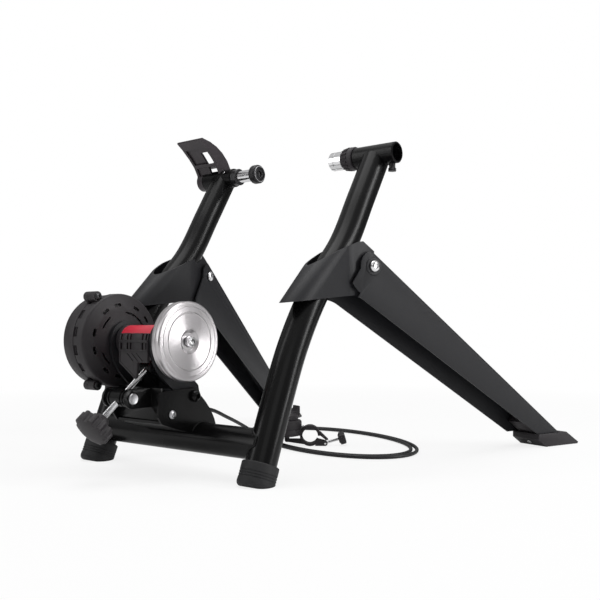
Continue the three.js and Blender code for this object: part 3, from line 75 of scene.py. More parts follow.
class TrainerSizes(bpy.types.PropertyGroup):
    tube_radius: length("Tube radius", 17.5, "Outer radius of the leg tubes and the cross tube")
    tube_outward: length("Tube from middle", 137, "From the middle plane to each leg tube's axis")
    barrel_radius: length("Barrel radius", 13.5, "Outer radius of the axle barrels")
    saddle_bore: length("Saddle bore", 17.8, "Inner half width of the saddles")
    sheet: length("Leg sheet", 2, "Sheet thickness of the saddles and folding legs")
    leg_width: length("Leg width", 48, "Width of a folding leg at its bolt")
    leg_foot_width: length("Leg foot width", 44.4, "Width of a folding leg at its foot")
    shoe_width: length("Shoe width", 48, "Width of a folding leg's shoe")
    roller_radius: length("Roller radius", 18, "Radius of the tyre roller")
    wheel_radius: length("Flywheel radius", 43.8, "Radius of the flywheel")
    drum_radius: length("Drum radius", 54.9, "Radius of the brake drum")
    shell: length("Drum wall", 2.6, "Wall thickness of the drum's shells")
    knob_radius: length("Knob radius", 20.5, "Radius of the adjuster's lobed knob")
    rod_radius: length("Rod radius", 3.6, "Outer radius of the adjuster's thread")
    thread_pitch: length("Thread pitch", 1.25, "Pitch of the adjuster's thread")
    cable_radius: length("Cable radius", 2.5, "Radius of the remote's cable")
    bar_radius: length("Handlebar radius", 11, "Radius of the remote's handlebar clamp")
    bead: length("Weld bead", 1.5, "Radius of the weld beads")


class TrainerColours(bpy.types.PropertyGroup):
    paint: colour("Tube paint", (0.0045, 0.0045, 0.0047), "Gloss black of the tubes")
    coat: colour("Leg coat", (0.0105, 0.0105, 0.0125), "Charcoal powder coat of the legs")
    plastic: colour("Plastic", (0.0195, 0.0168, 0.019), "Moulded black plastic")
    rubber: colour("Rubber", (0.0135, 0.0135, 0.0145), "Foot caps and cable")
    bright: colour("Bright metal", (0.78, 0.78, 0.79), "Chromed pieces")
    zinc: colour("Plated steel", (0.5, 0.5, 0.51), "Nuts, pins and screws")
    turned: colour("Turned metal", (0.49, 0.472, 0.482), "Face of the flywheel")
    red: colour("Roller", (0.62, 0.018, 0.045), "Smooth red roller")
    floor: colour("Floor", (0.9, 0.9, 0.9), "Studio floor")


class Millimetres:
    """Reads a property group's lengths in millimetres."""

    def __init__(self, group):
        self.group = group

    def __getattr__(self, name):
        return getattr(self.group, name) / MM


def sizes():
    return Millimetres(bpy.context.scene.trainer_sizes)


def colours():
    return bpy.context.scene.trainer_colours


# Solids: meshes in millimetres that are joined and cut
def mesh_solid(verts, faces):
    mesh = bpy.data.meshes.new("solid")
    mesh.from_pydata([tuple(v) for v in verts], [], faces)
    work = bmesh.new()
    work.from_mesh(mesh)
    bmesh.ops.remove_doubles(work, verts=work.verts, dist=1e-4)
    bmesh.ops.recalc_face_normals(work, faces=work.faces)
    if work.calc_volume(signed=True) < 0:
        bmesh.ops.reverse_faces(work, faces=work.faces)
    work.to_mesh(mesh)
    work.free()
    solid = bpy.data.objects.new("solid", mesh)
    bpy.context.scene.collection.objects.link(solid)
    return solid


def plain_mesh(thing):
    """The evaluated mesh of an object, as a new plain mesh."""
    graph = bpy.context.evaluated_depsgraph_get()
    return bpy.data.meshes.new_from_object(thing.evaluated_get(graph))


def discard(thing):
    mesh = thing.data
    bpy.data.objects.remove(thing)
    if mesh.users == 0:
        bpy.data.meshes.remove(mesh)


def combine(base, tools, operation):
    for tool in tools:
        step = base.modifiers.new("combine", "BOOLEAN")
        step.operation = operation
        step.solver = "MANIFOLD"
        step.object = tool
    mesh = plain_mesh(base)
    base.modifiers.clear()
    old = base.data
    base.data = mesh
    bpy.data.meshes.remove(old)
    for tool in tools:
        discard(tool)
    return base


def join(base, *others):
    return combine(base, others, "UNION") if others else base


def cut(base, *tools):
    return combine(base, tools, "DIFFERENCE") if tools else base


def common(base, other):
    return combine(base, [other], "INTERSECT")


def main_part(solid):
    """Keeps the largest of a solid's parts and drops the slivers beside it."""
    work = bmesh.new()
    work.from_mesh(solid.data)
    left = set(work.verts)
    parts = []
    while left:
        part = set()
        reached = [left.pop()]
        while reached:
            vert = reached.pop()
            part.add(vert)
            near = [edge.other_vert(vert) for edge in vert.link_edges]
            fresh = [v for v in near if v in left]
            left.difference_update(fresh)
            reached.extend(fresh)
        parts.append(part)
    parts.sort(key=len)
    for part in parts[:-1]:
        bmesh.ops.delete(work, geom=list(part), context="VERTS")
    work.to_mesh(solid.data)
    work.free()
    return solid


def moved(solid, matrix):
    """The same solid, moved; mirrored faces are turned to point out again."""
    solid.data.transform(matrix)
    if matrix.determinant() < 0:
        solid.data.flip_normals()
    return solid


def shifted(solid, x, y, z):
    return moved(solid, Matrix.Translation((x, y, z)))


def twin(solid):
    copy = bpy.data.objects.new("solid", solid.data.copy())
    bpy.context.scene.collection.objects.link(copy)
    return copy


MIRROR = Matrix.Scale(-1, 4, (0, 1, 0))
UPRIGHT = Matrix.Rotation(math.radians(90), 4, "X")


def turned(degrees, axis):
    return Matrix.Rotation(math.radians(degrees), 4, axis)


def mirrored(solid):
    return moved(twin(solid), MIRROR)


# Outlines: lists of points in a plane
def arc(x, y, radius, start, end, count=None):
    """Points of an arc, with its angles in degrees."""
    steps = count or max(2, round(abs(end - start) / 5))
    angles = [math.radians(start + (end - start) * i / steps) for i in range(steps + 1)]
    return [(x + radius * math.cos(a), y + radius * math.sin(a)) for a in angles]


def bend(start, control, end, count=12):
    """Points of a quadratic curve after its start."""
    steps = [(i + 1) / count for i in range(count)]
    return [
        tuple((1 - t) ** 2 * a + 2 * t * (1 - t) * b + t * t * c for a, b, c in zip(start, control, end))
        for t in steps
    ]


def rounded(points, radius, count=5):
    """An outline with its corners rounded."""
    result = []
    total = len(points)
    for i, point in enumerate(points):
        here = Vector(point)
        before = Vector(points[i - 1]) - here
        after = Vector(points[(i + 1) % total]) - here
        reach = min(radius, before.length * 0.45, after.length * 0.45)
        first = here + before.normalized() * reach
        last = here + after.normalized() * reach
        result.append(tuple(first))
        result.extend(bend(tuple(first), tuple(here), tuple(last), count))
    return result


def prism(points, low, high, axis):
    """A closed outline from one place to another along an axis."""
    place = {
        "X": lambda a, b, h: (h, a, b),
        "Y": lambda a, b, h: (a, h, b),
        "Z": lambda a, b, h: (a, b, h),
    }[axis]
    count = len(points)
    verts = [place(a, b, h) for h in (low, high) for a, b in points]
    sides = [(i, (i + 1) % count, (i + 1) % count + count, i + count) for i in range(count)]
    return mesh_solid(verts, [tuple(range(count)), tuple(range(count, 2 * count)), *sides])


def lathe(profile, segments=ROUND):
    """A profile of radius and Y turned about the Y axis; it starts and ends on the axis or closes."""
    ringed = profile[0][0] > 0
    rows = profile[:-1] if ringed else profile
    verts = []
    starts = []
    for radius, y in rows:
        starts.append(len(verts))
        turns = segments if radius > 0 else 1
        for i in range(turns):
            a = 2 * math.pi * i / segments
            verts.append((radius * math.sin(a), y, radius * math.cos(a)))
    faces = []
    pairs = len(rows) if ringed else len(rows) - 1
    for row in range(pairs):
        low, high = row, (row + 1) % len(rows)
        for i in range(segments):
            j = (i + 1) % segments
            corners = []
            for r, k in ((low, i), (low, j), (high, j), (high, i)):
                corner = starts[r] + (k if rows[r][0] > 0 else 0)
                if corner not in corners:
                    corners.append(corner)
            if len(corners) > 2:
                faces.append(tuple(corners))
    return mesh_solid(verts, faces)


def rod_profile(radius, low, high, edge=0):
    """Half section of a rod for lathe, with chamfers where edge is set."""
    if not edge:
        return [(0, low), (radius, low), (radius, high), (0, high)]
    return [
        (0, low),
        (radius - edge, low),
        (radius, low + edge),
        (radius, high - edge),
        (radius - edge, high),
        (0, high),
    ]


def tube_profile(outer, inner, low, high, edge=0):
    return [(inner, low), *rod_profile(outer, low, high, edge)[1:-1], (inner, high), (inner, low)]


def pin_y(radius, low, high, x, z, segments=SMALL_ROUND, edge=0):
    return shifted(lathe(rod_profile(radius, low, high, edge), segments), x, 0, z)


def pin_z(radius, low, high, x, y, segments=SMALL_ROUND):
    solid = moved(lathe(rod_profile(radius, low, high), segments), UPRIGHT)
    return shifted(solid, x, y, 0)


def block(x0, x1, y0, y1, z0, z1):
    return prism([(x0, y0), (x1, y0), (x1, y1), (x0, y1)], z0, z1, "Z")


def on_axle(solid):
    return shifted(solid, 0, 0, AXLE_HEIGHT)


def plates(outline, near, far):
    """Two equal plates, at the same distance left and right of the middle plane."""
    return [prism(outline, near, far, "Y"), prism(outline, -far, -near, "Y")]


def spline(points, count):
    """Centripetal Catmull-Rom points through a list, ends included."""
    pts = [Vector(p) for p in points]
    pts = [2 * pts[0] - pts[1], *pts, 2 * pts[-1] - pts[-2]]
    lengths = [(pts[i + 1] - pts[i]).length for i in range(1, len(pts) - 2)]
    total = sum(lengths)
    result = []
    for i, span in enumerate(lengths, start=1):
        p0, p1, p2, p3 = pts[i - 1 : i + 3]
        t0, t1 = 0, max((p1 - p0).length, 1e-6) ** 0.5
        t2 = t1 + max((p2 - p1).length, 1e-6) ** 0.5
        t3 = t2 + max((p3 - p2).length, 1e-6) ** 0.5
        steps = max(1, round(count * span / total))
        for k in range(steps):
            t = t1 + (t2 - t1) * k / steps
            a1 = p0.lerp(p1, (t - t0) / (t1 - t0))
            a2 = p1.lerp(p2, (t - t1) / (t2 - t1))
            a3 = p2.lerp(p3, (t - t2) / (t3 - t2))
            b1 = a1.lerp(a2, (t - t0) / (t2 - t0))
            b2 = a2.lerp(a3, (t - t1) / (t3 - t1))
            result.append(b1.lerp(b2, (t - t1) / (t2 - t1)))
    result.append(pts[-2].copy())
    return result


def sweep(points, radius, sides=SMALL_ROUND, closed=False):
    """A round bar along points, with a frame that doesn't twist."""
    count = len(points)
    tangents = []
    for i in range(count):
        ahead = points[(i + 1) % count] if closed or i < count - 1 else points[i]
        behind = points[i - 1] if closed or i > 0 else points[i]
        tangents.append((ahead - behind).normalized())
    normal = tangents[0].orthogonal().normalized()
    verts = []
    for point, tangent in zip(points, tangents):
        normal = (normal - tangent * normal.dot(tangent)).normalized()
        side = tangent.cross(normal)
        for k in range(sides):
            a = 2 * math.pi * k / sides
            verts.append(point + radius * (math.cos(a) * normal + math.sin(a) * side))
    faces = []
    for i in range(count if closed else count - 1):
        j = (i + 1) % count
        for k in range(sides):
            m = (k + 1) % sides
            faces.append((i * sides + k, i * sides + m, j * sides + m, j * sides + k))
    if not closed:
        faces.append(tuple(range(sides)))
        faces.append(tuple(range((count - 1) * sides, count * sides)))
    return mesh_solid(verts, faces)


def soften(solid, edge, steps):
    """Bevels a solid's sharp edges, after its flat faces are made whole."""
    work = bmesh.new()
    work.from_mesh(solid.data)
    bmesh.ops.remove_doubles(work, verts=work.verts, dist=WELD)
    bmesh.ops.dissolve_limit(work, angle_limit=FLAT, verts=work.verts, edges=work.edges)
    work.to_mesh(solid.data)
    work.free()
    bevel(solid, edge, steps, CREASE)
    work = bmesh.new()
    work.from_mesh(solid.data)
    bmesh.ops.dissolve_degenerate(work, dist=WELD, edges=work.edges)
    if all(len(rim.link_faces) == 2 for rim in work.edges):
        work.to_mesh(solid.data)
    work.free()


def bevel(solid, width, steps, limit):
    soft = solid.modifiers.new("edges", "BEVEL")
    soft.width = width
    soft.segments = steps
    soft.limit_method = "ANGLE"
    soft.angle_limit = limit
    soft.use_clamp_overlap = True
    soft.miter_outer = "MITER_ARC"
    mesh = plain_mesh(solid)
    solid.modifiers.clear()
    solid.data = mesh


def trim(solid, name, kind, body, edge=0, steps=2, crease=CREASE, slot=None, replaced=None):
    """Finishes a solid as a piece of a body: soft edges, the row's frame and its material. Its slot argument
    is not used.
    """
    if edge:
        soften(solid, edge, steps)
    mesh = solid.data
    mesh.transform(Matrix.Scale(MM, 4) @ Matrix.Translation((ORIGIN_BEHIND_AXLE, 0, 0)))
    mesh.shade_smooth()
    mesh.set_sharp_from_angle(angle=crease)
    mesh.materials.clear()
    mesh.materials.append(finish(kind))
    solid.name = name
    mesh.name = name
    if replaced:
        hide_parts(replaced)
    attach(solid, body)


def redo(solid, node, kind, body, edge=0, **settings):
    """Finishes a solid as the piece that replaces a CAD node."""
    trim(solid, node + "_finish", kind, body, edge, replaced=node, **settings)


def redo_pair(left, node, kind, body="stand", **settings):
    """A left piece and its mirror image; a {} in the body's name stands for the side."""
    right = mirrored(left)
    for side, solid in (("left", left), ("right", right)):
        redo(solid, node + "_" + side, kind, body.format(side), **settings)


def dress(node, material):
    """Gives a CAD node that stays a finished material."""
    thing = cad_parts[node]
    thing.data.materials.clear()
    thing.data.materials.append(material)


# Geometry Nodes: pieces repeated round an axis or along a path
def new_tree(name, inputs):
    tree = bpy.data.node_groups.new(name, "GeometryNodeTree")
    tree.interface.new_socket("Geometry", in_out="INPUT", socket_type="NodeSocketGeometry")
    for label, kind, default in inputs:
        socket = tree.interface.new_socket(label, in_out="INPUT", socket_type=kind)
        if default is not None:
            socket.default_value = default
    tree.interface.new_socket("Geometry", in_out="OUTPUT", socket_type="NodeSocketGeometry")
    return tree


def repeat_tree():
    """Copies a small mesh to every point of the modified mesh, turned by its rotation attribute."""
    name = "repeat on points"
    if name in bpy.data.node_groups:
        return bpy.data.node_groups[name]
    tree = new_tree(name, [("Shape", "NodeSocketObject", None), ("Finish", "NodeSocketMaterial", None)])
    nodes, links = tree.nodes, tree.links
    start = nodes.new("NodeGroupInput")
    shape = nodes.new("GeometryNodeObjectInfo")
    turn = nodes.new("GeometryNodeInputNamedAttribute")
    turn.data_type = "FLOAT_VECTOR"
    turn.inputs["Name"].default_value = "turn"
    place = nodes.new("GeometryNodeInstanceOnPoints")
    real = nodes.new("GeometryNodeRealizeInstances")
    paint = nodes.new("GeometryNodeSetMaterial")
    end = nodes.new("NodeGroupOutput")
    links.new(start.outputs["Geometry"], place.inputs["Points"])
    links.new(start.outputs["Shape"], shape.inputs["Object"])
    links.new(shape.outputs["Geometry"], place.inputs["Instance"])
    links.new(turn.outputs["Attribute"], place.inputs["Rotation"])
    links.new(place.outputs["Instances"], real.inputs["Geometry"])
    links.new(real.outputs["Geometry"], paint.inputs["Geometry"])
    links.new(start.outputs["Finish"], paint.inputs["Material"])
    links.new(paint.outputs["Geometry"], end.inputs["Geometry"])
    return tree


def repeated(shape, places, material):
    """Copies of a solid at (position, euler) places, made by Geometry Nodes and then made plain."""
    mesh = bpy.data.meshes.new("places")
    mesh.from_pydata([tuple(p) for p, _ in places], [], [])
    turn = mesh.attributes.new("turn", "FLOAT_VECTOR", "POINT")
    for slot, (_, euler) in zip(turn.data, places):
        slot.vector = tuple(euler)
    points = bpy.data.objects.new("places", mesh)
    bpy.context.scene.collection.objects.link(points)
    tree = repeat_tree()
    step = points.modifiers.new("repeat", "NODES")
    step.node_group = tree
    names = {item.name: item.identifier for item in tree.interface.items_tree if item.in_out == "INPUT"}
    step[names["Shape"]] = shape
    step[names["Finish"]] = material
    plain = plain_mesh(points)
    points.modifiers.clear()
    points.data = plain
    discard(shape)
    return points


# Materials
def plug(tree, value, target):
    """Links a wire to an input, or gives the input a plain value."""
    if isinstance(value, Wire):
        tree.links.new(value.socket, target)
    else:
        target.default_value = value


class Wire:
    """A socket whose arithmetic adds Math nodes."""

    def __init__(self, tree, socket):
        self.tree = tree
        self.socket = socket

    def maths(self, operation, other=None, swapped=False):
        node = self.tree.nodes.new("ShaderNodeMath")
        node.operation = operation
        values = (self,) if other is None else (other, self) if swapped else (self, other)
        for target, value in zip(node.inputs, values):
            plug(self.tree, value, target)
        return Wire(self.tree, node.outputs[0])

    def __add__(self, other):
        return self.maths("ADD", other)

    __radd__ = __add__

    def __sub__(self, other):
        return self.maths("SUBTRACT", other)

    def __rsub__(self, other):
        return self.maths("SUBTRACT", other, True)

    def __mul__(self, other):
        return self.maths("MULTIPLY", other)

    __rmul__ = __mul__

    def __truediv__(self, other):
        return self.maths("DIVIDE", other)

    def __pow__(self, other):
        return self.maths("POWER", other)


class Finish:
    """A material with one Principled shader and the nodes that vary it."""

    def __init__(self, name, base, roughness, metallic=0.0, coat=0.0, specular=0.5):
        self.material = bpy.data.materials.new(name)
        self.material.use_nodes = True
        self.tree = self.material.node_tree
        self.shader = self.tree.nodes["Principled BSDF"]
        self.base = (*base, 1)
        self.set("Base Color", self.base)
        self.set("Roughness", roughness)
        self.set("Metallic", metallic)
        self.set("Coat Weight", coat)
        self.set("Specular IOR Level", specular)

    def set(self, name, value):
        plug(self.tree, value, self.shader.inputs[name])

    def node(self, kind, inputs, settings=None, output=0):
        """One output of a new node, with its inputs by name or number and its settings."""
        node = self.tree.nodes.new(kind)
        for key, value in (settings or {}).items():
            setattr(node, key, value)
        for key, value in inputs.items():
            plug(self.tree, value, node.inputs[key])
        return Wire(self.tree, node.outputs[output])

    def here(self):
        return self.node("ShaderNodeTexCoord", {}, output="Object")

    def noise(self, per_metre, detail=2.0, roughness=0.5, where=None):
        inputs = {"Vector": where or self.here(), "Scale": per_metre}
        inputs.update({"Detail": detail, "Roughness": roughness})
        return self.node("ShaderNodeTexNoise", inputs, output="Fac")

    def lines(self, *per_metre):
        """Noise drawn out along an axis, by its scales along the three."""
        drawn = self.node("ShaderNodeMapping", {"Vector": self.here(), "Scale": per_metre})
        return self.noise(1, where=drawn)

    def range(self, value, low, high):
        return self.node("ShaderNodeMapRange", {"Value": value, "From Min": low, "From Max": high})

    def mix(self, factor, first, second):
        return self.node("ShaderNodeMix", {0: factor, 6: first, 7: second}, {"data_type": "RGBA"}, 2)

    def bump(self, height, strength, distance):
        inputs = {"Height": height, "Strength": strength, "Distance": distance * MM}
        self.set("Normal", self.node("ShaderNodeBump", inputs))

    def distance(self, x, z, flat=False):
        """Distance in millimetres from a line along Y, or along Z where flat."""
        centre = ((x + ORIGIN_BEHIND_AXLE) * MM, 0, z * MM)
        place = self.node("ShaderNodeVectorMath", {0: self.here(), 1: centre}, {"operation": "SUBTRACT"})
        side = self.node("ShaderNodeSeparateXYZ", {0: place}, output="X")
        across = side / MM
        up = Wire(self.tree, side.socket.node.outputs["Y" if flat else "Z"]) / MM
        return (across * across + up * up).maths("SQRT")


def rays(tree):
    """Whether the ray that looks is the camera's, a mirrored one or one that passed through."""
    path = tree.nodes.new("ShaderNodeLightPath")
    return [Wire(tree, path.outputs["Is %s Ray" % kind]) for kind in ("Camera", "Glossy", "Transmission")]


def tint(base, share):
    return (*[min(1, c * share) for c in base[:3]], 1)


def paint_finish():
    """Gloss black paint with a faint orange peel and dust in its haze."""
    made = Finish("gloss black paint", colours().paint, 0.25, specular=0.17)
    haze = made.noise(38, 4, 0.6)
    dust = made.range(made.noise(2600, 3, 0.7), 0.63, 0.8)
    made.set("Base Color", made.mix(dust * 0.08, tint(made.base, 1), (0.05, 0.05, 0.052, 1)))
    made.set("Roughness", 0.19 + haze * 0.12 + dust * 0.1)
    made.bump(made.noise(420, 2, 0.5) + made.noise(90, 1) * 0.6, 0.1, 0.05)
    return made.material


def coat_finish():
    """Charcoal powder coat, with its fine grain and a soft sheen."""
    made = Finish("charcoal powder coat", colours().coat, 0.48, specular=0.3)
    grain = made.noise(1500, 3, 0.65)
    cloud = made.noise(45, 3, 0.6)
    fleck = made.range(made.noise(3400, 1), 0.66, 0.74)
    body = made.mix(cloud, tint(made.base, 0.88), tint(made.base, 1.14))
    made.set("Base Color", made.mix(fleck * 0.3, body, tint(made.base, 2.6)))
    made.set("Roughness", 0.42 + grain * 0.14)
    made.bump(grain, 0.22, 0.05)
    return made.material


def plastic_finish(name="moulded black plastic", base=None, gloss=0.5, grain_scale=1900):
    """Moulded plastic: spark-eroded grain, flow clouds and rubbed high spots."""
    made = Finish(name, base or colours().plastic, gloss, specular=0.34)
    grain = made.noise(grain_scale, 2, 0.6)
    cloud = made.noise(60, 3, 0.55)
    rub = made.range(made.noise(260, 4, 0.7), 0.58, 0.75)
    made.set("Base Color", made.mix(cloud, tint(made.base, 0.85), tint(made.base, 1.2)))
    made.set("Roughness", gloss - 0.05 + grain * 0.14 - rub * 0.08)
    made.bump(grain, 0.25, 0.04)
    return made.material


def rubber_finish(name="rubber", gloss=0.62):
    made = Finish(name, colours().rubber, gloss, specular=0.32)
    speck = made.range(made.noise(2300, 3, 0.7), 0.6, 0.78)
    cloud = made.noise(70, 3, 0.6)
    body = made.mix(cloud, tint(made.base, 0.85), tint(made.base, 1.25))
    made.set("Base Color", made.mix(speck * 0.25, body, (0.1, 0.1, 0.1, 1)))
    made.set("Roughness", gloss - 0.06 + cloud * 0.14)
    made.bump(made.noise(1300, 3, 0.6), 0.3, 0.05)
    return made.material


def chrome_finish():
    made = Finish("bright plating", colours().bright, 0.1, metallic=1)
    smear = made.noise(150, 4, 0.65)
    scratch = made.lines(4000, 160, 4000)
    made.set("Base Color", made.mix(smear, tint(made.base, 0.86), tint(made.base, 1.06)))
    made.set("Roughness", 0.06 + smear * 0.12 + made.range(scratch, 0.6, 0.75) * 0.1)
    made.bump(scratch, 0.05, 0.02)
    return made.material


def zinc_finish():
    made = Finish("plated steel", colours().zinc, 0.3, metallic=1)
    spangle = made.noise(520, 3, 0.6)
    made.set("Base Color", made.mix(spangle, tint(made.base, 0.72), tint(made.base, 1.2)))
    made.set("Roughness", 0.22 + spangle * 0.2)
    made.bump(made.noise(1800, 2), 0.12, 0.03)
    return made.material


def blackened_finish():
    """Blackened steel of screws, worn a little brighter in spots."""
    made = Finish("blackened steel", (0.05, 0.05, 0.052), 0.35, metallic=0.8)
    wear = made.range(made.noise(900, 3, 0.6), 0.55, 0.75)
    made.set("Base Color", made.mix(wear * 0.4, tint(made.base, 1), (0.16, 0.16, 0.165, 1)))
    made.set("Roughness", 0.3 + wear * 0.15)
    made.bump(made.noise(1800, 2), 0.15, 0.03)
    return made.material


def turned_finish(x, z):
    """Lathe-turned metal: fine grooves round the shaft that spread the light along the radius."""
    made = Finish("turned metal", colours().turned, 0.3, metallic=1)
    distance = made.distance(x, z)
    groove = (distance * (2 * math.pi / 0.42)).maths("SINE")
    coarse = made.noise(1, 2, where=made.node("ShaderNodeCombineXYZ", {"X": distance * 1.9}))
    smear = made.noise(70, 3, 0.6)
    made.set("Base Color", made.mix(coarse, tint(made.base, 0.86), tint(made.base, 1.06)))
    made.set("Roughness", 0.26 + coarse * 0.04 + smear * 0.02)
    made.bump(groove, 0.12, 0.01)
    return made.material


def red_finish():
    made = Finish("red roller", colours().red, 0.36, coat=0.1)
    cloud = made.noise(90, 3, 0.6)
    lines = made.lines(20, 1500, 20)
    made.set("Base Color", made.mix(cloud, tint(made.base, 0.82), tint(made.base, 1.1)))
    made.set("Roughness", 0.3 + lines * 0.14)
    made.bump(lines, 0.15, 0.04)
    return made.material


def floor_finish():
    """Pale floor that keeps the shadow near the object and is white to the camera beyond it."""
    made = Finish("studio floor", colours().floor, 0.9, specular=0.1)
    made.set("Base Color", made.mix(made.noise(3, 2), tint(made.base, 1), tint(made.base, 1.02)))
    far = made.range(made.distance(0, 0, flat=True), 500, 1300)
    seen, glossy, through = rays(made.tree)
    share = seen * (0.82 + far * 0.18) + glossy * 0.15 + through * 0.7
    shaded = Wire(made.tree, made.shader.outputs["BSDF"])
    white = made.node("ShaderNodeEmission", {})
    both = made.node("ShaderNodeMixShader", {"Fac": share, 1: shaded, 2: white})
    plug(made.tree, both, made.tree.nodes["Material Output"].inputs["Surface"])
    return made.material


FINISHES = {}


def finish(kind):
    makers = {
        "paint": paint_finish,
        "coat": coat_finish,
        "plastic": plastic_finish,
        "lever": lambda: plastic_finish("lever plastic", (0.032, 0.026, 0.03), 0.36, 1400),
        "insert": lambda: plastic_finish("insert plastic", (0.008, 0.008, 0.009), 0.34),
        "rubber": rubber_finish,
        "cable": lambda: rubber_finish("cable sheath", 0.45),
        "chrome": chrome_finish,
        "zinc": zinc_finish,
        "blackened": blackened_finish,
        "lock": lambda: plastic_finish("lock ring plastic", (0.03, 0.026, 0.03), 0.45),
        "turned": lambda: turned_finish(-SHAFT[0], SHAFT[1]),
        "red": red_finish,
        "floor": floor_finish,
    }
    if kind not in FINISHES:
        FINISHES[kind] = makers[kind]()
    return FINISHES[kind]


# Shaft of the roller, behind and above the axle line's foot
SHAFT = (264.9, 153.7)


# Camera, lamps and floor
CAMERA = {
    "place": (-874.8, -722.4, 170.1),
    "yaw": 39.1,
    "focal_pixels": 814.8,
    "horizon": 326.5,
    "frame": 600,
    "sensor": 36,
    "nearest": 0.01,
}
AIM = (-0.05, 0, 0.2)
LAMPS = {
    "left bank": {"place": (-1.5, 1, 1), "aim": AIM, "width": 0.4, "height": 1.8, "power": 8},
    "right bank": {"place": (0.7, -1.9, 0.9), "aim": AIM, "width": 0.4, "height": 1.8, "power": 26},
    "overhead": {"place": (-0.2, 0, 2.1), "aim": (0, 0, 0), "width": 1.6, "height": 1.6, "power": 24},
    "front fill": {"place": (-1.6, -1.4, 1.1), "aim": AIM, "width": 1.2, "height": 1, "power": 2.5},
}
FLOOR = {"half": 12000, "low": -20, "high": -0.2}


def in_frame(x, y, z):
    return Vector(((x + ORIGIN_BEHIND_AXLE) * MM, y * MM, z * MM))


def add_lamp(name, place, aim, width, height, power):
    data = bpy.data.lights.new(name, "AREA")
    data.shape = "RECTANGLE"
    data.size = width
    data.size_y = height
    data.energy = power
    lamp = bpy.data.objects.new(name, data)
    lamp.location = place
    lamp.rotation_euler = (Vector(aim) - Vector(place)).to_track_quat("-Z", "Y").to_euler()
    bpy.context.scene.collection.objects.link(lamp)


class BuildStage(bpy.types.Operator):
    """Camera at the photograph's place, soft lamps, pale world and floor"""

    bl_idname = "trainer.stage"
    bl_label = "Stage"

    def execute(self, context):
        data = bpy.data.cameras.new("camera")
        data.sensor_width = CAMERA["sensor"]
        data.lens = CAMERA["sensor"] * CAMERA["focal_pixels"] / CAMERA["frame"]
        data.shift_y = (CAMERA["horizon"] - CAMERA["frame"] / 2) / CAMERA["frame"]
        data.clip_start = CAMERA["nearest"]
        camera = bpy.data.objects.new("camera", data)
        camera.location = in_frame(*CAMERA["place"])
        camera.rotation_euler = (math.pi / 2, 0, math.radians(CAMERA["yaw"]) - math.pi / 2)
        context.scene.collection.objects.link(camera)
        context.scene.camera = camera
        for name, settings in LAMPS.items():
            add_lamp(name, **settings)
        self.world(context.scene)
        half = FLOOR["half"]
        floor = block(-half, half, -half, half, FLOOR["low"], FLOOR["high"])
        floor.data.transform(Matrix.Scale(MM, 4))
        floor.name = "floor"
        floor.data.materials.append(finish("floor"))
        context.scene.view_settings.view_transform = "Standard"
        return {"FINISHED"}

    def world(self, scene):
        world = bpy.data.worlds.new("studio")
        world.use_nodes = True
        scene.world = world
        tree = world.node_tree
        background = tree.nodes["Background"]
        seen, glossy, through = rays(tree)
        direction = tree.nodes.new("ShaderNodeTexCoord")
        parts = tree.nodes.new("ShaderNodeSeparateXYZ")
        tree.links.new(direction.outputs["Generated"], parts.inputs[0])
        height = Wire(tree, parts.outputs["Z"]).maths("MAXIMUM", 0.0)
        background.inputs["Color"].default_value = (1, 1, 1, 1)
        dome = 0.05 + height * 0.35
        shown = (seen + through).maths("MINIMUM", 1.0)
        strength = shown + (1 - shown) * (dome + glossy * height * 0.4)
        tree.links.new(strength.socket, background.inputs["Strength"])


# Cable of the remote: the same points as the CAD route, and a flat coil
CABLE_ROUTE = [
    (-262, 70, 91.3),
    (-262, 70, 84),
    (-260.5, 67, 74.5),
    (-251, 59, 68),
    (-233, 50.5, 66),
    (-205, 46.5, 66.5),
    (-165, 44.5, 66.5),
    (-117, 48.5, 61),
    (-60, 69.5, 44),
    (0, 96.5, 25),
    (35, 113, 13),
    (56, 124, 6.4),
]
CABLE_TAIL = [
    (57, 101, 4.2),
    (72, 107, 8),
    (85, 102, 13),
    (88, 90, 17.5),
    (79, 79, 21),
    (66, 71.8, 22.5),
    (51.3, 61.5, 22.5),
    (34.9, 50, 22.5),
]
COIL = {
    "x": 80,
    "y": -10,
    "z": 3,
    "long": 169,
    "short": 95,
    "heading": 66,
    "start": -38,
    "end": 660,
    "draw_in": 0.066,
}
COIL_STEPS = 24


def coil_point(degrees):
    """A place on the flat, slowly tightening coil."""
    a = math.radians(degrees)
    heading = math.radians(COIL["heading"])
    size = 1 - COIL["draw_in"] * (degrees - COIL["start"]) / 360
    along = size * COIL["long"] * math.cos(a)
    across = size * COIL["short"] * math.sin(a)
    x = COIL["x"] + along * math.cos(heading) + across * math.sin(heading)
    y = COIL["y"] + along * math.sin(heading) - across * math.cos(heading)
    return (x, y, COIL["z"])


def cable_points():
    turns = (COIL["end"] - COIL["start"]) / 360
    count = round(turns * COIL_STEPS)
    span = COIL["end"] - COIL["start"]
    coil = [coil_point(COIL["start"] + span * i / count) for i in range(count + 1)]
    return [in_frame(*p) for p in (*CABLE_ROUTE, *coil, *CABLE_TAIL)]


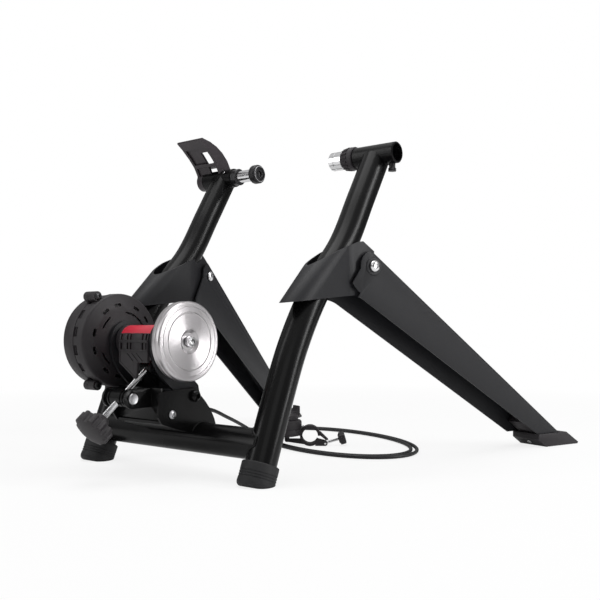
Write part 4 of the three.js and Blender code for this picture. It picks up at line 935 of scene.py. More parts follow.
class BuildCable(bpy.types.Operator):
    """Cable from the brake to the remote, with its coil on the floor"""

    bl_idname = "trainer.cable"
    bl_label = "Cable"

    def execute(self, context):
        points = spline(cable_points(), 400)
        curve = bpy.data.curves.new("remote_cable", "CURVE")
        curve.dimensions = "3D"
        curve.bevel_depth = sizes().cable_radius * MM * 0.99
        curve.bevel_resolution = 5
        curve.use_fill_caps = True
        line = curve.splines.new("POLY")
        line.points.add(len(points) - 1)
        for slot, point in zip(line.points, points):
            slot.co = (*point, 1)
        line.use_smooth = True
        cable = bpy.data.objects.new("remote_cable", curve)
        context.scene.collection.objects.link(cable)
        curve.materials.append(finish("cable"))
        total = sum((b - a).length for a, b in zip(points, points[1:]))
        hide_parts("cable_run", "cable_coil", "cable_tail")
        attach(cable, "stand")
        2 * sizes().cable_radius * MM
        return {"FINISHED"}


# Leg tubes, their rubber feet and the tube between them
TUBE_AXIS_SHARES = [
    (-0.5897, 0),
    (-0.5562, 0.0769),
    (-0.4962, 0.2308),
    (-0.4259, 0.3846),
    (-0.3269, 0.5385),
    (-0.1829, 0.6923),
    (-0.0864, 0.8462),
    (-0.0015, 0.9846),
]
TUBE_WALL = 1.8
BEAD_POINTS = 120
BEAD_STEP_SHARE = 0.75
CROSS = {"back": 214.2, "height": 41.4}
CAP = {"radius": 20.8, "flare": 0.3, "height": 23.6, "floor": 11.4, "edge": 1.6, "sole": 4, "round": 6}
GRIP = {"heights": (6.4, 9.4, 12.4), "depth": 0.5, "slope": 0.3, "width": 1.4}
BARREL = {
    "bore": 11,
    "right_inner": 108,
    "right_outer": 169.6,
    "left_inner": 112,
    "left_outer": 168.2,
    "beyond": 220,
}
GUIDE = {
    "outward": 124,
    "turn": 58,
    "lean": 32,
    "slot_half_width": 2.2,
    "slot_half_length": 7,
    "radius": 1.9,
    "low": 9,
    "high": 14.6,
}


def axis_point(share):
    return Vector((share[0] * AXLE_HEIGHT, sizes().tube_outward, share[1] * AXLE_HEIGHT))


def foot_lean():
    foot, second = axis_point(TUBE_AXIS_SHARES[0]), axis_point(TUBE_AXIS_SHARES[2])
    return math.atan2(second.x - foot.x, second.z - foot.z)


def tube_line(start, count=90):
    """The left tube's axis from a little above the floor to the barrel."""
    lean = foot_lean()
    first = axis_point(TUBE_AXIS_SHARES[0]) + start * Vector((math.sin(lean), 0, math.cos(lean)))
    return spline([first, *map(axis_point, TUBE_AXIS_SHARES[2:])], count)


def tube_room():
    """The room that the left leg tube takes, with clearance."""
    return sweep(tube_line(0, 60), sizes().tube_radius + FIT, 64)


def bead(path, radius, name, closed=True):
    """A weld bead: balls close together along a path, as the ripples that a welder leaves."""
    count = len(path)
    spacing = radius * BEAD_STEP_SHARE
    places = []
    carried = 0.0
    for i in range(count if closed else count - 1):
        a = path[i]
        b = path[(i + 1) % count]
        span = (b - a).length
        while carried < span:
            places.append((a.lerp(b, carried / span), (0, 0, 0)))
            carried += spacing
        carried -= span
    ball = lathe([(0, -radius), *arc(0, 0, radius, -70, 70, 6), (0, radius)], 14)
    trim(repeated(ball, places, finish("paint")), name, "paint", "stand")


class BuildTubes(bpy.types.Operator):
    """Bent leg tubes, the cross tube between them, and their weld beads"""

    bl_idname = "trainer.tubes"
    bl_label = "Tubes"

    def execute(self, context):
        size = sizes()
        outer = sweep(tube_line(CAP["floor"] + FIT), size.tube_radius, 80)
        inner = sweep(tube_line(CAP["floor"]), size.tube_radius - TUBE_WALL, 64)
        seat = pin_y(size.barrel_radius + FIT, OVERRUN, BARREL["beyond"], 0, AXLE_HEIGHT, 80)
        left = main_part(cut(outer, inner, seat))
        redo_pair(left, "leg_tube", "paint")
        reach, radius = size.tube_outward, size.tube_radius
        cross = lathe(tube_profile(radius, radius - TUBE_WALL, -reach, reach), 80)
        shifted(cross, -CROSS["back"], 0, CROSS["height"])
        cut(cross, tube_room(), moved(tube_room(), MIRROR), *self.cap_rooms())
        redo(cross, "cross_tube", "paint", "stand")
        self.beads(size)
        return {"FINISHED"}

    def cap_rooms(self):
        room = CAP["radius"] + CAP["flare"] + FIT
        left = at_foot(lathe(rod_profile(room, -OVERRUN, CAP["height"] + FIT), 64))
        return [left, mirrored(left)]

    def beads(self, size):
        radius, outward = size.tube_radius, size.tube_outward
        joint = []
        ends = []
        lean = foot_lean()
        foot = axis_point(TUBE_AXIS_SHARES[0])
        top = axis_point(TUBE_AXIS_SHARES[-1]).z
        for i in range(BEAD_POINTS):
            a = 2 * math.pi * i / BEAD_POINTS
            across, along = radius * math.cos(a), radius * math.sin(a)
            x = across - CROSS["back"]
            z = along + CROSS["height"]
            off = (x - foot.x) * math.cos(lean) - z * math.sin(lean)
            joint.append(Vector((x, outward - math.sqrt(max(0, radius**2 - off**2)), z)))
            drop = math.sqrt(max(0, size.barrel_radius**2 - across**2))
            ends.append(Vector((across - FIT, outward + along, min(AXLE_HEIGHT - drop, top))))
        ends = ends[BEAD_POINTS // 2 :] + ends[: BEAD_POINTS // 2]
        for side in (1, -1):
            word = "left" if side > 0 else "right"
            flip = [Vector((p.x, side * p.y, p.z)) for p in joint]
            bead(flip, size.bead, "cross_bead_" + word)
            clear = [p for p in ends if side < 0 or p.y < HANDLE["inner"] - 2 * size.bead]
            flip = [Vector((p.x, side * p.y, p.z)) for p in clear]
            bead(flip, size.bead * 0.8, "barrel_bead_" + word, closed=side < 0)


def at_foot(solid):
    """Stands a turned solid on the floor, in line with the left tube's foot."""
    foot = axis_point(TUBE_AXIS_SHARES[0])
    turn = Matrix.Rotation(foot_lean(), 4, "Y") @ UPRIGHT
    return moved(solid, Matrix.Translation((foot.x, foot.y, 0)) @ turn)


class BuildFeet(bpy.types.Operator):
    """Rubber feet with moulded grip rings and a rolled rim"""

    bl_idname = "trainer.feet"
    bl_label = "Feet"

    def execute(self, context):
        radius, height, turn = CAP["radius"], CAP["height"], CAP["round"]
        hole = sizes().tube_radius + FIT / 2
        sole = -CAP["sole"]
        side = radius + CAP["flare"]
        outside = bend((radius - turn, sole), (radius + 0.2, sole), (side, sole + turn), 8)
        rings = []
        floor, slope, width = radius - GRIP["depth"], GRIP["slope"], GRIP["width"]
        for z in GRIP["heights"]:
            rings += [(radius, z), (floor, z + slope), (floor, z + width - slope), (radius, z + width)]
        rim = arc(radius - CAP["edge"], height - CAP["edge"], CAP["edge"], 0, 90, 5)
        inside = [(hole, height - 0.4), (hole, CAP["floor"]), (0, CAP["floor"])]
        solid = at_foot(lathe([(0, sole), (radius - turn, sole), *outside, *rings, *rim, *inside]))
        left = cut(solid, block(-2 * AXLE_HEIGHT, 0, 0, AXLE_HEIGHT, -OVERRUN, 0))
        redo_pair(left, "foot_cap", "rubber", crease=0.45)
        return {"FINISHED"}


class BuildBarrels(bpy.types.Operator):
    """Axle barrels, the slotted left one with its guide pin"""

    bl_idname = "trainer.barrels"
    bl_label = "Axle barrels"

    def execute(self, context):
        radius = sizes().barrel_radius
        bore = BARREL["bore"]
        right = lathe(tube_profile(radius, bore, -BARREL["right_outer"], -BARREL["right_inner"], 0.9))
        on_axle(right)
        hole = SET_SCREW["radius"] + FIT
        cut(right, pin_z(hole, AXLE_HEIGHT - OVERRUN, AXLE_HEIGHT, 0, -SET_SCREW["outward"]))
        left = lathe(tube_profile(radius, bore, BARREL["left_inner"], BARREL["left_outer"], 0.5))
        wide, long = GUIDE["slot_half_width"], GUIDE["slot_half_length"]
        slot = rounded([(-wide, -long), (wide, -long), (wide, long), (-wide, long)], wide)
        lean = turned(-GUIDE["lean"], "Z")
        window = moved(prism(slot, 0, OVERRUN / 2, "Z"), Matrix.Translation((0, GUIDE["outward"], 0)) @ lean)
        left = on_axle(cut(left, moved(window, turned(-GUIDE["turn"], "Y"))))
        redo(right, "axle_barrel_right", "paint", "stand")
        redo(left, "axle_barrel_left", "paint", "stand")
        guide = lathe(rod_profile(GUIDE["radius"], GUIDE["low"], GUIDE["high"], 0.4), SMALL_ROUND)
        aim = turned(-GUIDE["turn"], "Y") @ UPRIGHT
        moved(guide, Matrix.Translation((0, GUIDE["outward"], AXLE_HEIGHT)) @ aim)
        trim(guide, "guide_pin", "chrome", "stand")
        return {"FINISHED"}


# Saddles and folding legs
COLLAR = {
    "nose": 13,
    "lean": 45,
    "low_back": 154.9,
    "low_height": 197,
    "bend_back": 80.7,
    "bend": 6,
}
LAP = 0.2
LEG = {
    "bolt_back": 47.4,
    "bolt_height": 242.8,
    "bolt_outward": 147.9,
    "splay": 18.14,
    "fall": 35.58,
    "top": 15.3,
    "corner": 5,
    "nose": 19,
    "throat": -4,
    "heel_round": 7,
    "heel_back": 12.5,
    "heel_drop": 54.6,
    "heel_front": 3.2,
    "heel_rise": 42.3,
    "foot_drop": 12.2,
    "heel_reach": 37.7,
    "inner_heel_drop": 56.6,
    "inner_heel_rise": 49.5,
    "inner_foot_drop": 20.2,
    "web_start": 4.2,
    "end_height": 19,
    "bead_height": 1.1,
    "bead_radius": 10.5,
}
BOLT = {"radius": 4, "head": 7, "head_height": 4.6, "nut": 6.8, "nut_height": 6, "tip": 1.2}
SADDLE_LOW_SHARES = [(-0.62, 0.8), (-0.535, 0.811), (-0.306, 0.835), (-0.172, 0.848), (-0.054, 0.857)]
SADDLE_HIGH_SHARES = [
    (0.02, 1.068),
    (0.02, 1.077),
    (-0.048, 1.124),
    (-0.078, 1.12),
    (-0.213, 1.069),
    (-0.339, 1.008),
    (-0.4, 0.972),
    (-0.62, 0.93),
]


def scaled(shares, x_size, z_size=None):
    return [(x * x_size, z * (z_size or x_size)) for x, z in shares]


def heading_matrix():
    place = Matrix.Translation((-LEG["bolt_back"], LEG["bolt_outward"], 0))
    return place @ turned(LEG["splay"], "Z")


def leg_matrix():
    place = Matrix.Translation((-LEG["bolt_back"], LEG["bolt_outward"], LEG["bolt_height"]))
    return place @ turned(LEG["splay"], "Z") @ turned(LEG["fall"], "Y")


def saddle_parts(half):
    """The trough round the tube and the cheeks that turn towards the leg, at a half width."""
    rise = OVERRUN * math.sqrt(2)
    outward = sizes().tube_outward
    hollow = [(2 * OVERRUN, -half), (2 * OVERRUN, half), *arc(0, 0, half, 90, 270, 40)]
    trough = prism(hollow, -rise, 2 * rise, "Z")
    lean = turned(COLLAR["lean"], "Y")
    moved(trough, Matrix.Translation((-COLLAR["low_back"], outward, COLLAR["low_height"])) @ lean)
    forward = 2 * OVERRUN
    turn = math.tan(math.radians(LEG["splay"]))
    bend_x, soft = -COLLAR["bend_back"], COLLAR["bend"]
    start_x = bend_x - soft

    def side(sign):
        y = outward + sign * half
        curve = bend((start_x, y), (bend_x, y), (bend_x + soft, y + soft * turn), 8)
        end = (bend_x + forward, y + forward * turn)
        return [(start_x - LAP, y), (start_x, y), *curve, end]

    cheeks = prism([*side(-1), *reversed(side(1))], 0, AXLE_HEIGHT, "Z")
    behind = block(-2 * AXLE_HEIGHT, start_x - LAP / 2, 0, 2 * outward, 0, AXLE_HEIGHT)
    return common(trough, behind), cheeks


def saddle_side():
    """Everything within the saddle's outline, as seen from the side."""
    height = LEG["bolt_height"]
    nose = arc(0, height, COLLAR["nose"], -60, 75, 24)
    outline = [*scaled(SADDLE_LOW_SHARES, height), *nose, *scaled(SADDLE_HIGH_SHARES, height)]
    return prism(outline, -OVERRUN, OVERRUN, "Y")


class BuildSaddles(bpy.types.Operator):
    """Sheet saddles bent round the tubes"""

    bl_idname = "trainer.saddles"
    bl_label = "Saddles"

    def execute(self, context):
        size = sizes()
        outer = saddle_parts(size.saddle_bore + size.sheet)
        inner = saddle_parts(size.saddle_bore)
        side = moved(saddle_side(), heading_matrix())
        sheet = common(join(*outer), side)
        hole = pin_y(BOLT["radius"] + FIT, -OVERRUN, OVERRUN, 0, LEG["bolt_height"])
        left = cut(sheet, *inner, tube_room(), moved(hole, heading_matrix()))
        redo_pair(left, "collar", "coat", edge=0.45)
        return {"FINISHED"}


def leg_point(height, drop):
    """How far down the leg a height over the floor lies, on a line that runs above its middle by drop."""
    fall = math.radians(LEG["fall"])
    return (LEG["bolt_height"] - height + drop * math.cos(fall)) / math.sin(fall)


def leg_side(heel_drop, heel_rise, foot_drop):
    """A flange's outline from the side, with its heel rounded."""
    end = LEG["end_height"]
    top = LEG["top"] + FIT
    foot = (leg_point(end, -foot_drop), -foot_drop)
    heel = [(-LEG["heel_back"], -heel_drop), (LEG["heel_front"], -heel_rise)]
    lower = rounded([(-LEG["nose"], LEG["throat"]), *heel, foot], LEG["heel_round"])
    curved = [p for p in lower if p[1] < 3 * LEG["throat"] and p[0] < foot[0] + 2 * LEG["throat"]]
    return [
        *curved,
        foot,
        (leg_point(end, top), top),
        (-LEG["nose"] / 3, top),
        *arc(0, 0, LEG["nose"], 105, 225, 20),
    ]


def leg_channel():
    """A channel folded from sheet, tapered, with two flanges of different depth and a boss at the bolt."""
    size = sizes()
    half = size.leg_width / 2
    wall, top, corner = size.sheet, LEG["top"], LEG["corner"]
    low = -LEG["inner_heel_drop"] - FIT
    section = [
        (-half, low),
        *arc(corner - half, top - corner, corner, 180, 90, 8),
        *arc(half - corner, top - corner, corner, 90, 0, 8),
        (half, low),
        (half - wall, low),
        *arc(half - corner, top - corner, corner - wall, 0, 90, 8),
        *arc(corner - half, top - corner, corner - wall, 90, 180, 8),
        (wall - half, low),
    ]
    end = leg_point(LEG["end_height"], top) + LEG["nose"]
    blank = prism(section, -LEG["nose"], end, "X")
    taper = 1 - size.leg_foot_width / size.leg_width
    for vert in blank.data.vertices:
        vert.co.y *= 1 - taper * min(1, max(0, vert.co.x / end))
    far = 2 * leg_point(LEG["end_height"], top)
    keep = join(
        lathe(rod_profile(LEG["heel_reach"], -half - FIT, half + FIT), ROUND),
        block(LEG["heel_front"], far, -half - FIT, half + FIT, -2 * OVERRUN, OVERRUN),
    )
    shape = leg_side(LEG["heel_drop"], LEG["heel_rise"], LEG["foot_drop"])
    outer = common(prism(shape, -half - FIT, half + FIT, "Y"), keep)
    shape = leg_side(LEG["inner_heel_drop"], LEG["inner_heel_rise"], LEG["inner_foot_drop"])
    inner = prism(shape, -half - FIT, 0, "Y")
    sheet = common(blank, join(outer, inner))
    boss = LEG["bead_radius"] + LEG["bead_height"]
    high = half + LEG["bead_height"]
    rise = LEG["bead_height"]
    dish = lathe([(0, half - wall), (boss, half - wall), (boss, half), (boss - rise, high), (0, high)])
    mouth = block(-LEG["nose"] - 5, -LEG["web_start"], wall - half, half - wall, low - 5, OVERRUN)
    hole = pin_y(BOLT["radius"] + FIT, -OVERRUN, OVERRUN, 0, 0)
    return cut(join(sheet, dish), mouth, hole)


def dome_screw(shank, reach, head, height):
    """A domed screw along Y, with its head's seat at 0, and a hexagonal socket."""
    rises = [math.radians(a) for a in range(0, 81, 10)]
    dome = [(head * math.cos(a), height * (0.22 + 0.78 * math.sin(a))) for a in rises]
    screw = lathe([(0, -reach), (shank, -reach), (shank, 0), (head - 0.3, 0), *dome, (0, height)], 64)
    hollow = lathe(rod_profile(head * 0.46, height * 0.42, height * 2), 6)
    return cut(screw, hollow)


def hex_nut(size, bore, low, high):
    """A nut along Y with rounded corners and a threaded bore's edge."""
    edge = 0.9
    rim = [(size - edge, low), (size, low + edge * 0.6), (size, high - edge * 0.6), (size - edge, high)]
    cone = lathe([(0, low), *rim, (0, high)])
    flats = lathe(rod_profile(size * 1.03, low, high), 6)
    return cut(common(cone, flats), lathe(rod_profile(bore + FIT, low - 1, high + 1), SMALL_ROUND))


class BuildFoldingLegs(bpy.types.Operator):
    """Pressed channel legs with their bolts and nuts"""

    bl_idname = "trainer.folding_legs"
    bl_label = "Folding legs"

    def execute(self, context):
        matrix = leg_matrix()
        redo_pair(moved(leg_channel(), matrix), "folding_leg", "coat", "{}_leg", edge=0.5)
        self.bolt("left", matrix)
        self.bolt("right", MIRROR @ matrix @ MIRROR)
        return {"FINISHED"}

    def bolt(self, word, place):
        half = sizes().leg_width / 2
        bead_side = LEG["bead_height"] if word == "right" else 0
        seat = half + bead_side + FIT
        far = half + LEG["bead_height"] - bead_side + FIT
        reach = seat + far + BOLT["nut_height"] + BOLT["tip"]
        screw = shifted(dome_screw(BOLT["radius"], reach, BOLT["head"], BOLT["head_height"]), 0, seat, 0)
        moved(screw, place @ MIRROR)
        redo(screw, "leg_bolt_" + word, "chrome", "stand", crease=0.5)
        nut = hex_nut(BOLT["nut"], BOLT["radius"], far + FIT, far + FIT + BOLT["nut_height"])
        redo(moved(nut, place), "leg_nut_" + word, "zinc", "stand", crease=0.4)


SHOE = {
    "height": 18.7,
    "back": 46.5,
    "heel": 30.5,
    "heel_height": 11,
    "toe": 35.5,
    "toe_height": 2.2,
    "brow": 11.5,
    "tongue_back": 58,
    "tongue_drop": 9,
    "tongue_width": 33,
    "screw_radius": 3.6,
    "screw_shank": 2.6,
    "screw_depth": 9,
    "screw_head": 2,
    "screw_lean": 35.5,
}
TREAD_GROOVE = [(0, 0), (0.5, 0.7), (1.5, 0.7), (2, 0)]
TREAD = {"pitch": 5.2, "heel_clear": 4, "toe_clear": 3}


def shoe_end():
    """How far forward of the bolt the leg's upper corner ends."""
    fall = math.radians(LEG["fall"])
    return leg_point(LEG["end_height"], LEG["top"]) * math.cos(fall) + LEG["top"] * math.sin(fall)


def shoe_screw_place():
    fall = math.radians(LEG["fall"])
    h = shoe_end() - (SHOE["back"] + SHOE["heel"]) / 2
    z = SHOE["heel_height"] / 2 - LEG["bolt_height"]
    x, up = h * math.cos(fall) - z * math.sin(fall), h * math.sin(fall) + z * math.cos(fall)
    turn = Matrix.Rotation(math.pi + math.radians(SHOE["screw_lean"]) - fall, 4, "Y")
    return Matrix.Translation((x, 0, up)) @ turn @ UPRIGHT


class BuildShoes(bpy.types.Operator):
    """Ribbed plastic shoes under the folding legs, with their screws"""

    bl_idname = "trainer.shoes"
    bl_label = "Shoes"

    def execute(self, context):
        width = sizes().shoe_width / 2
        end = shoe_end()
        floor = -LEG["bolt_height"]
        tread = []
        place = end - SHOE["heel"] + TREAD["heel_clear"]
        stop = end + SHOE["toe"] - TREAD["toe_clear"] - TREAD["pitch"]
        while place < stop:
            tread += [(place + x, floor + z) for x, z in TREAD_GROOVE]
            place += TREAD["pitch"]
        sole = [
            (end - SHOE["back"], floor + SHOE["height"]),
            (end - SHOE["back"], floor + SHOE["heel_height"]),
            (end - SHOE["heel"], floor),
            *tread,
            (end + SHOE["toe"], floor),
            (end + SHOE["toe"] + SHOE["toe_height"], floor + SHOE["toe_height"]),
            (end + SHOE["brow"], floor + SHOE["height"]),
        ]
        fall = math.radians(LEG["fall"])
        wedge = moved(prism(sole, -width, width, "Y"), Matrix.Rotation(-fall, 4, "Y"))
        under = LEG["top"] - sizes().sheet - FIT
        first = leg_point(LEG["end_height"], under) - SHOE["tongue_back"]
        tongue = [
            (first, -SHOE["tongue_drop"]),
            (leg_point(SHOE["heel_height"], -SHOE["tongue_drop"]), -SHOE["tongue_drop"]),
            (leg_point(SHOE["heel_height"], under), under),
            (first, under),
        ]
        half = SHOE["tongue_width"] / 2
        radius, depth = SHOE["screw_radius"], SHOE["screw_depth"]
        hole = lathe(rod_profile(radius + FIT, -depth - FIT, OVERRUN), SMALL_ROUND)
        at_screw = shoe_screw_place()
        left = cut(join(wedge, prism(tongue, -half, half, "Y")), moved(hole, at_screw))
        redo_pair(moved(left, leg_matrix()), "leg_shoe", "plastic", "{}_leg", edge=0.7)
        screw = moved(dome_screw(SHOE["screw_shank"], depth, radius, SHOE["screw_head"]), at_screw)
        redo_pair(moved(screw, leg_matrix()), "shoe_screw", "zinc", "{}_leg")
        return {"FINISHED"}


# Right axle cup, its lock ring and the barrel's screw
RIGHT_CUP = {
    "inner": 68.8,
    "length": 20,
    "radius": 12,
    "bore": 8,
    "depth": 9,
    "groove": 0.5,
    "shank": 10,
    "pitch": 1.5,
    "thread": 0.75,
    "shank_end": 152,
    "lock_inner": 89.1,
    "lock_radius": 15,
    "lock_tooth": 1.1,
    "lock_ribs": 16,
}
SET_SCREW = {"outward": 162, "radius": 4, "reach": 9, "cap": 5.2, "cap_height": 4}


def threaded(radius, low, high, pitch, depth, sides=36, rows=6):
    """A rod along Y whose radius follows a screw thread."""
    count = max(2, round((high - low) / pitch * rows))
    verts = []
    for i in range(count + 1):
        y = low + (high - low) * i / count
        fade = min(1, (y - low) / pitch, (high - y) / pitch)
        for k in range(sides):
            turn = (y / pitch - k / sides) % 1
            ridge = abs(2 * turn - 1)
            r = radius - depth * (1 - ridge) * fade - depth * (1 - fade)
            a = 2 * math.pi * k / sides
            verts.append((r * math.sin(a), y, r * math.cos(a)))
    faces = [
        (i * sides + k, i * sides + (k + 1) % sides, (i + 1) * sides + (k + 1) % sides, (i + 1) * sides + k)
        for i in range(count)
        for k in range(sides)
    ]
    faces.append(tuple(range(sides)))
    faces.append(tuple(range(count * sides, (count + 1) * sides)))
    return mesh_solid(verts, faces)


class BuildRightCup(bpy.types.Operator):
    """Screw-adjusted cup, the knurled lock ring and the barrel's screw"""

    bl_idname = "trainer.right_cup"
    bl_label = "Right axle cup"

    def execute(self, context):
        cup = RIGHT_CUP
        inner, length, radius = cup["inner"], cup["length"], cup["radius"]
        bore, depth, root, groove = cup["bore"], cup["depth"], cup["shank"] - 0.9, radius - cup["groove"]
        inside = [(0, depth), (bore - 0.6, depth), (bore, depth - 0.6), (bore, 0.5), (bore + 0.5, 0)]
        outside = [
            (radius - 0.9, 0),
            (radius, 0.9),
            (radius, length * 0.36),
            (groove, length * 0.38),
            (groove, length * 0.46),
            (radius, length * 0.48),
            (radius, length - 0.8),
            (radius - 0.8, length),
        ]
        neck = [(root, length), (root, length + 1.2), (0, length + 1.2)]
        profile = [(r, -inner - y) for r, y in (*inside, *outside, *neck)]
        thread_end = -inner - length - 0.6
        thread = threaded(cup["shank"], -cup["shank_end"], thread_end, cup["pitch"], cup["thread"], 48)
        solid = on_axle(join(lathe(profile), thread))
        redo(solid, "axle_cup_right", "chrome", "right_cup")
        self.ring(cup)
        self.screw()
        return {"FINISHED"}

    def ring(self, cup):
        low, high = 2 * FIT - BARREL["right_inner"], -cup["lock_inner"]
        base = cup["lock_radius"] - cup["lock_tooth"] * 0.75
        bore = cup["shank"] + FIT / 2
        waist, nose = low + (high - low) * 0.4, base * 0.9
        profile = [
            (bore, low),
            (base + 0.2, low),
            (base + 1, low + 0.9),
            (base + 1, waist - 0.6),
            (base + 0.4, waist),
            (nose, high - 0.5),
            (nose - 0.5, high),
            (bore, high),
            (bore, low),
        ]
        body = on_axle(lathe(profile))
        redo(body, "lock_ring", "lock", "cup_lock")
        tilt = math.atan2(base + 0.4 - nose, high - 0.5 - waist)
        middle = (base + 0.4 + nose) / 2
        half = (high - waist) / 2 - 0.7
        rib = [(-1.4, -0.5), (1.4, -0.5), (1, 1.3), (-1, 1.3)]
        tooth = moved(prism(rib, -half, half, "Y"), Matrix.Rotation(-tilt, 4, "X"))
        shifted(tooth, 0, (high + waist) / 2 - 0.3, 0)
        teeth = []
        for i in range(cup["lock_ribs"]):
            a = 2 * math.pi * i / cup["lock_ribs"]
            place = (middle * math.sin(a), 0, AXLE_HEIGHT + middle * math.cos(a))
            teeth.append((place, (0, a, 0)))
        knurl = repeated(tooth, teeth, finish("lock"))
        trim(knurl, "lock_ring_knurl", "lock", "cup_lock")

    def screw(self):
        top = AXLE_HEIGHT - RIGHT_CUP["shank"] - FIT
        low = top - SET_SCREW["reach"]
        cap = SET_SCREW["cap"]
        outline = lobed(80, lambda a: cap * (0.93 + 0.07 * math.cos(10 * a)))
        grip = prism(outline, low - SET_SCREW["cap_height"], low, "Z")
        stem = pin_z(SET_SCREW["radius"], low - 0.5, top, 0, 0)
        solid = shifted(join(grip, stem), 0, -SET_SCREW["outward"], 0)
        redo(solid, "barrel_set_screw", "insert", "stand", 0.4)


# Quick clamp on the left
CLAMP = {
    "ring_in": 2.2,
    "ring_width": 1,
    "ring_stand": 0.7,
    "cup_inner": 63.3,
    "cup_length": 12.5,
    "cup_radius": 13.4,
    "cup_back": 10.6,
    "neck": 8.6,
    "guide": 10.6,
    "guide_inner": 128,
    "hex_radius": 9.2,
    "hex_depth": 7,
    "bush_radius": 12,
    "bush_inner": 102,
    "bush_length": 22,
    "plunger_end": 150,
    "barrel_end": 168.2,
    "spindle": 5,
    "spindle_inner": 118,
    "travel": 8,
}
HANDLE = {
    "inner": 131,
    "outer": 180,
    "wall": 4.5,
    "recess": 2.2,
    "web": 3.4,
    "gap": 15.5,
    "hub": 13.6,
    "edge": 1.2,
}
HANDLE_BACK_SHARES = [
    (0.95, 0.5),
    (0.68, 1.24),
    (0.2, 2.05),
    (-0.585, 2.81),
    (-1.44, 3.33),
    (-2.43, 3.7),
    (-3.62, 3.92),
    (-3.88, 3.82),
    (-3.86, 3.66),
]
HANDLE_FRONT_SHARES = [(-3.22, 3.21), (-2.11, 2.26), (-1.37, 1.48), (-0.9, 0.7), (-0.6, -0.4)]
HANDLE_WINDOW_SHARES = [(-3.3, 2.5), (-2.2, 4.2), (1.5, 3), (0.9, 1.9), (-2.2, 1.58)]
HANDLE_GAP_SHARES = [(-2.65, 2.15), (-1.5, 4.2), (1.5, 3.2), (0.9, 1.88), (-2.2, 1.54)]
HANDLE_SLOT_SHARES = [(-2.2, 1.22), (0.9, 1.56), (0.8, 0.7), (-2.2, 0.3)]


def lobed(count, reach):
    """An outline whose distance from its middle follows a function of the angle."""
    angles = [2 * math.pi * i / count for i in range(count)]
    return [(reach(a) * math.cos(a), reach(a) * math.sin(a)) for a in angles]


def inset(points, by):
    """An open line of points moved sideways, to the left of its way."""
    result = []
    for i, point in enumerate(points):
        before = Vector(points[max(0, i - 1)])
        after = Vector(points[min(len(points) - 1, i + 1)])
        way = (after - before).normalized()
        result.append((point[0] - way.y * by, point[1] + way.x * by))
    return result


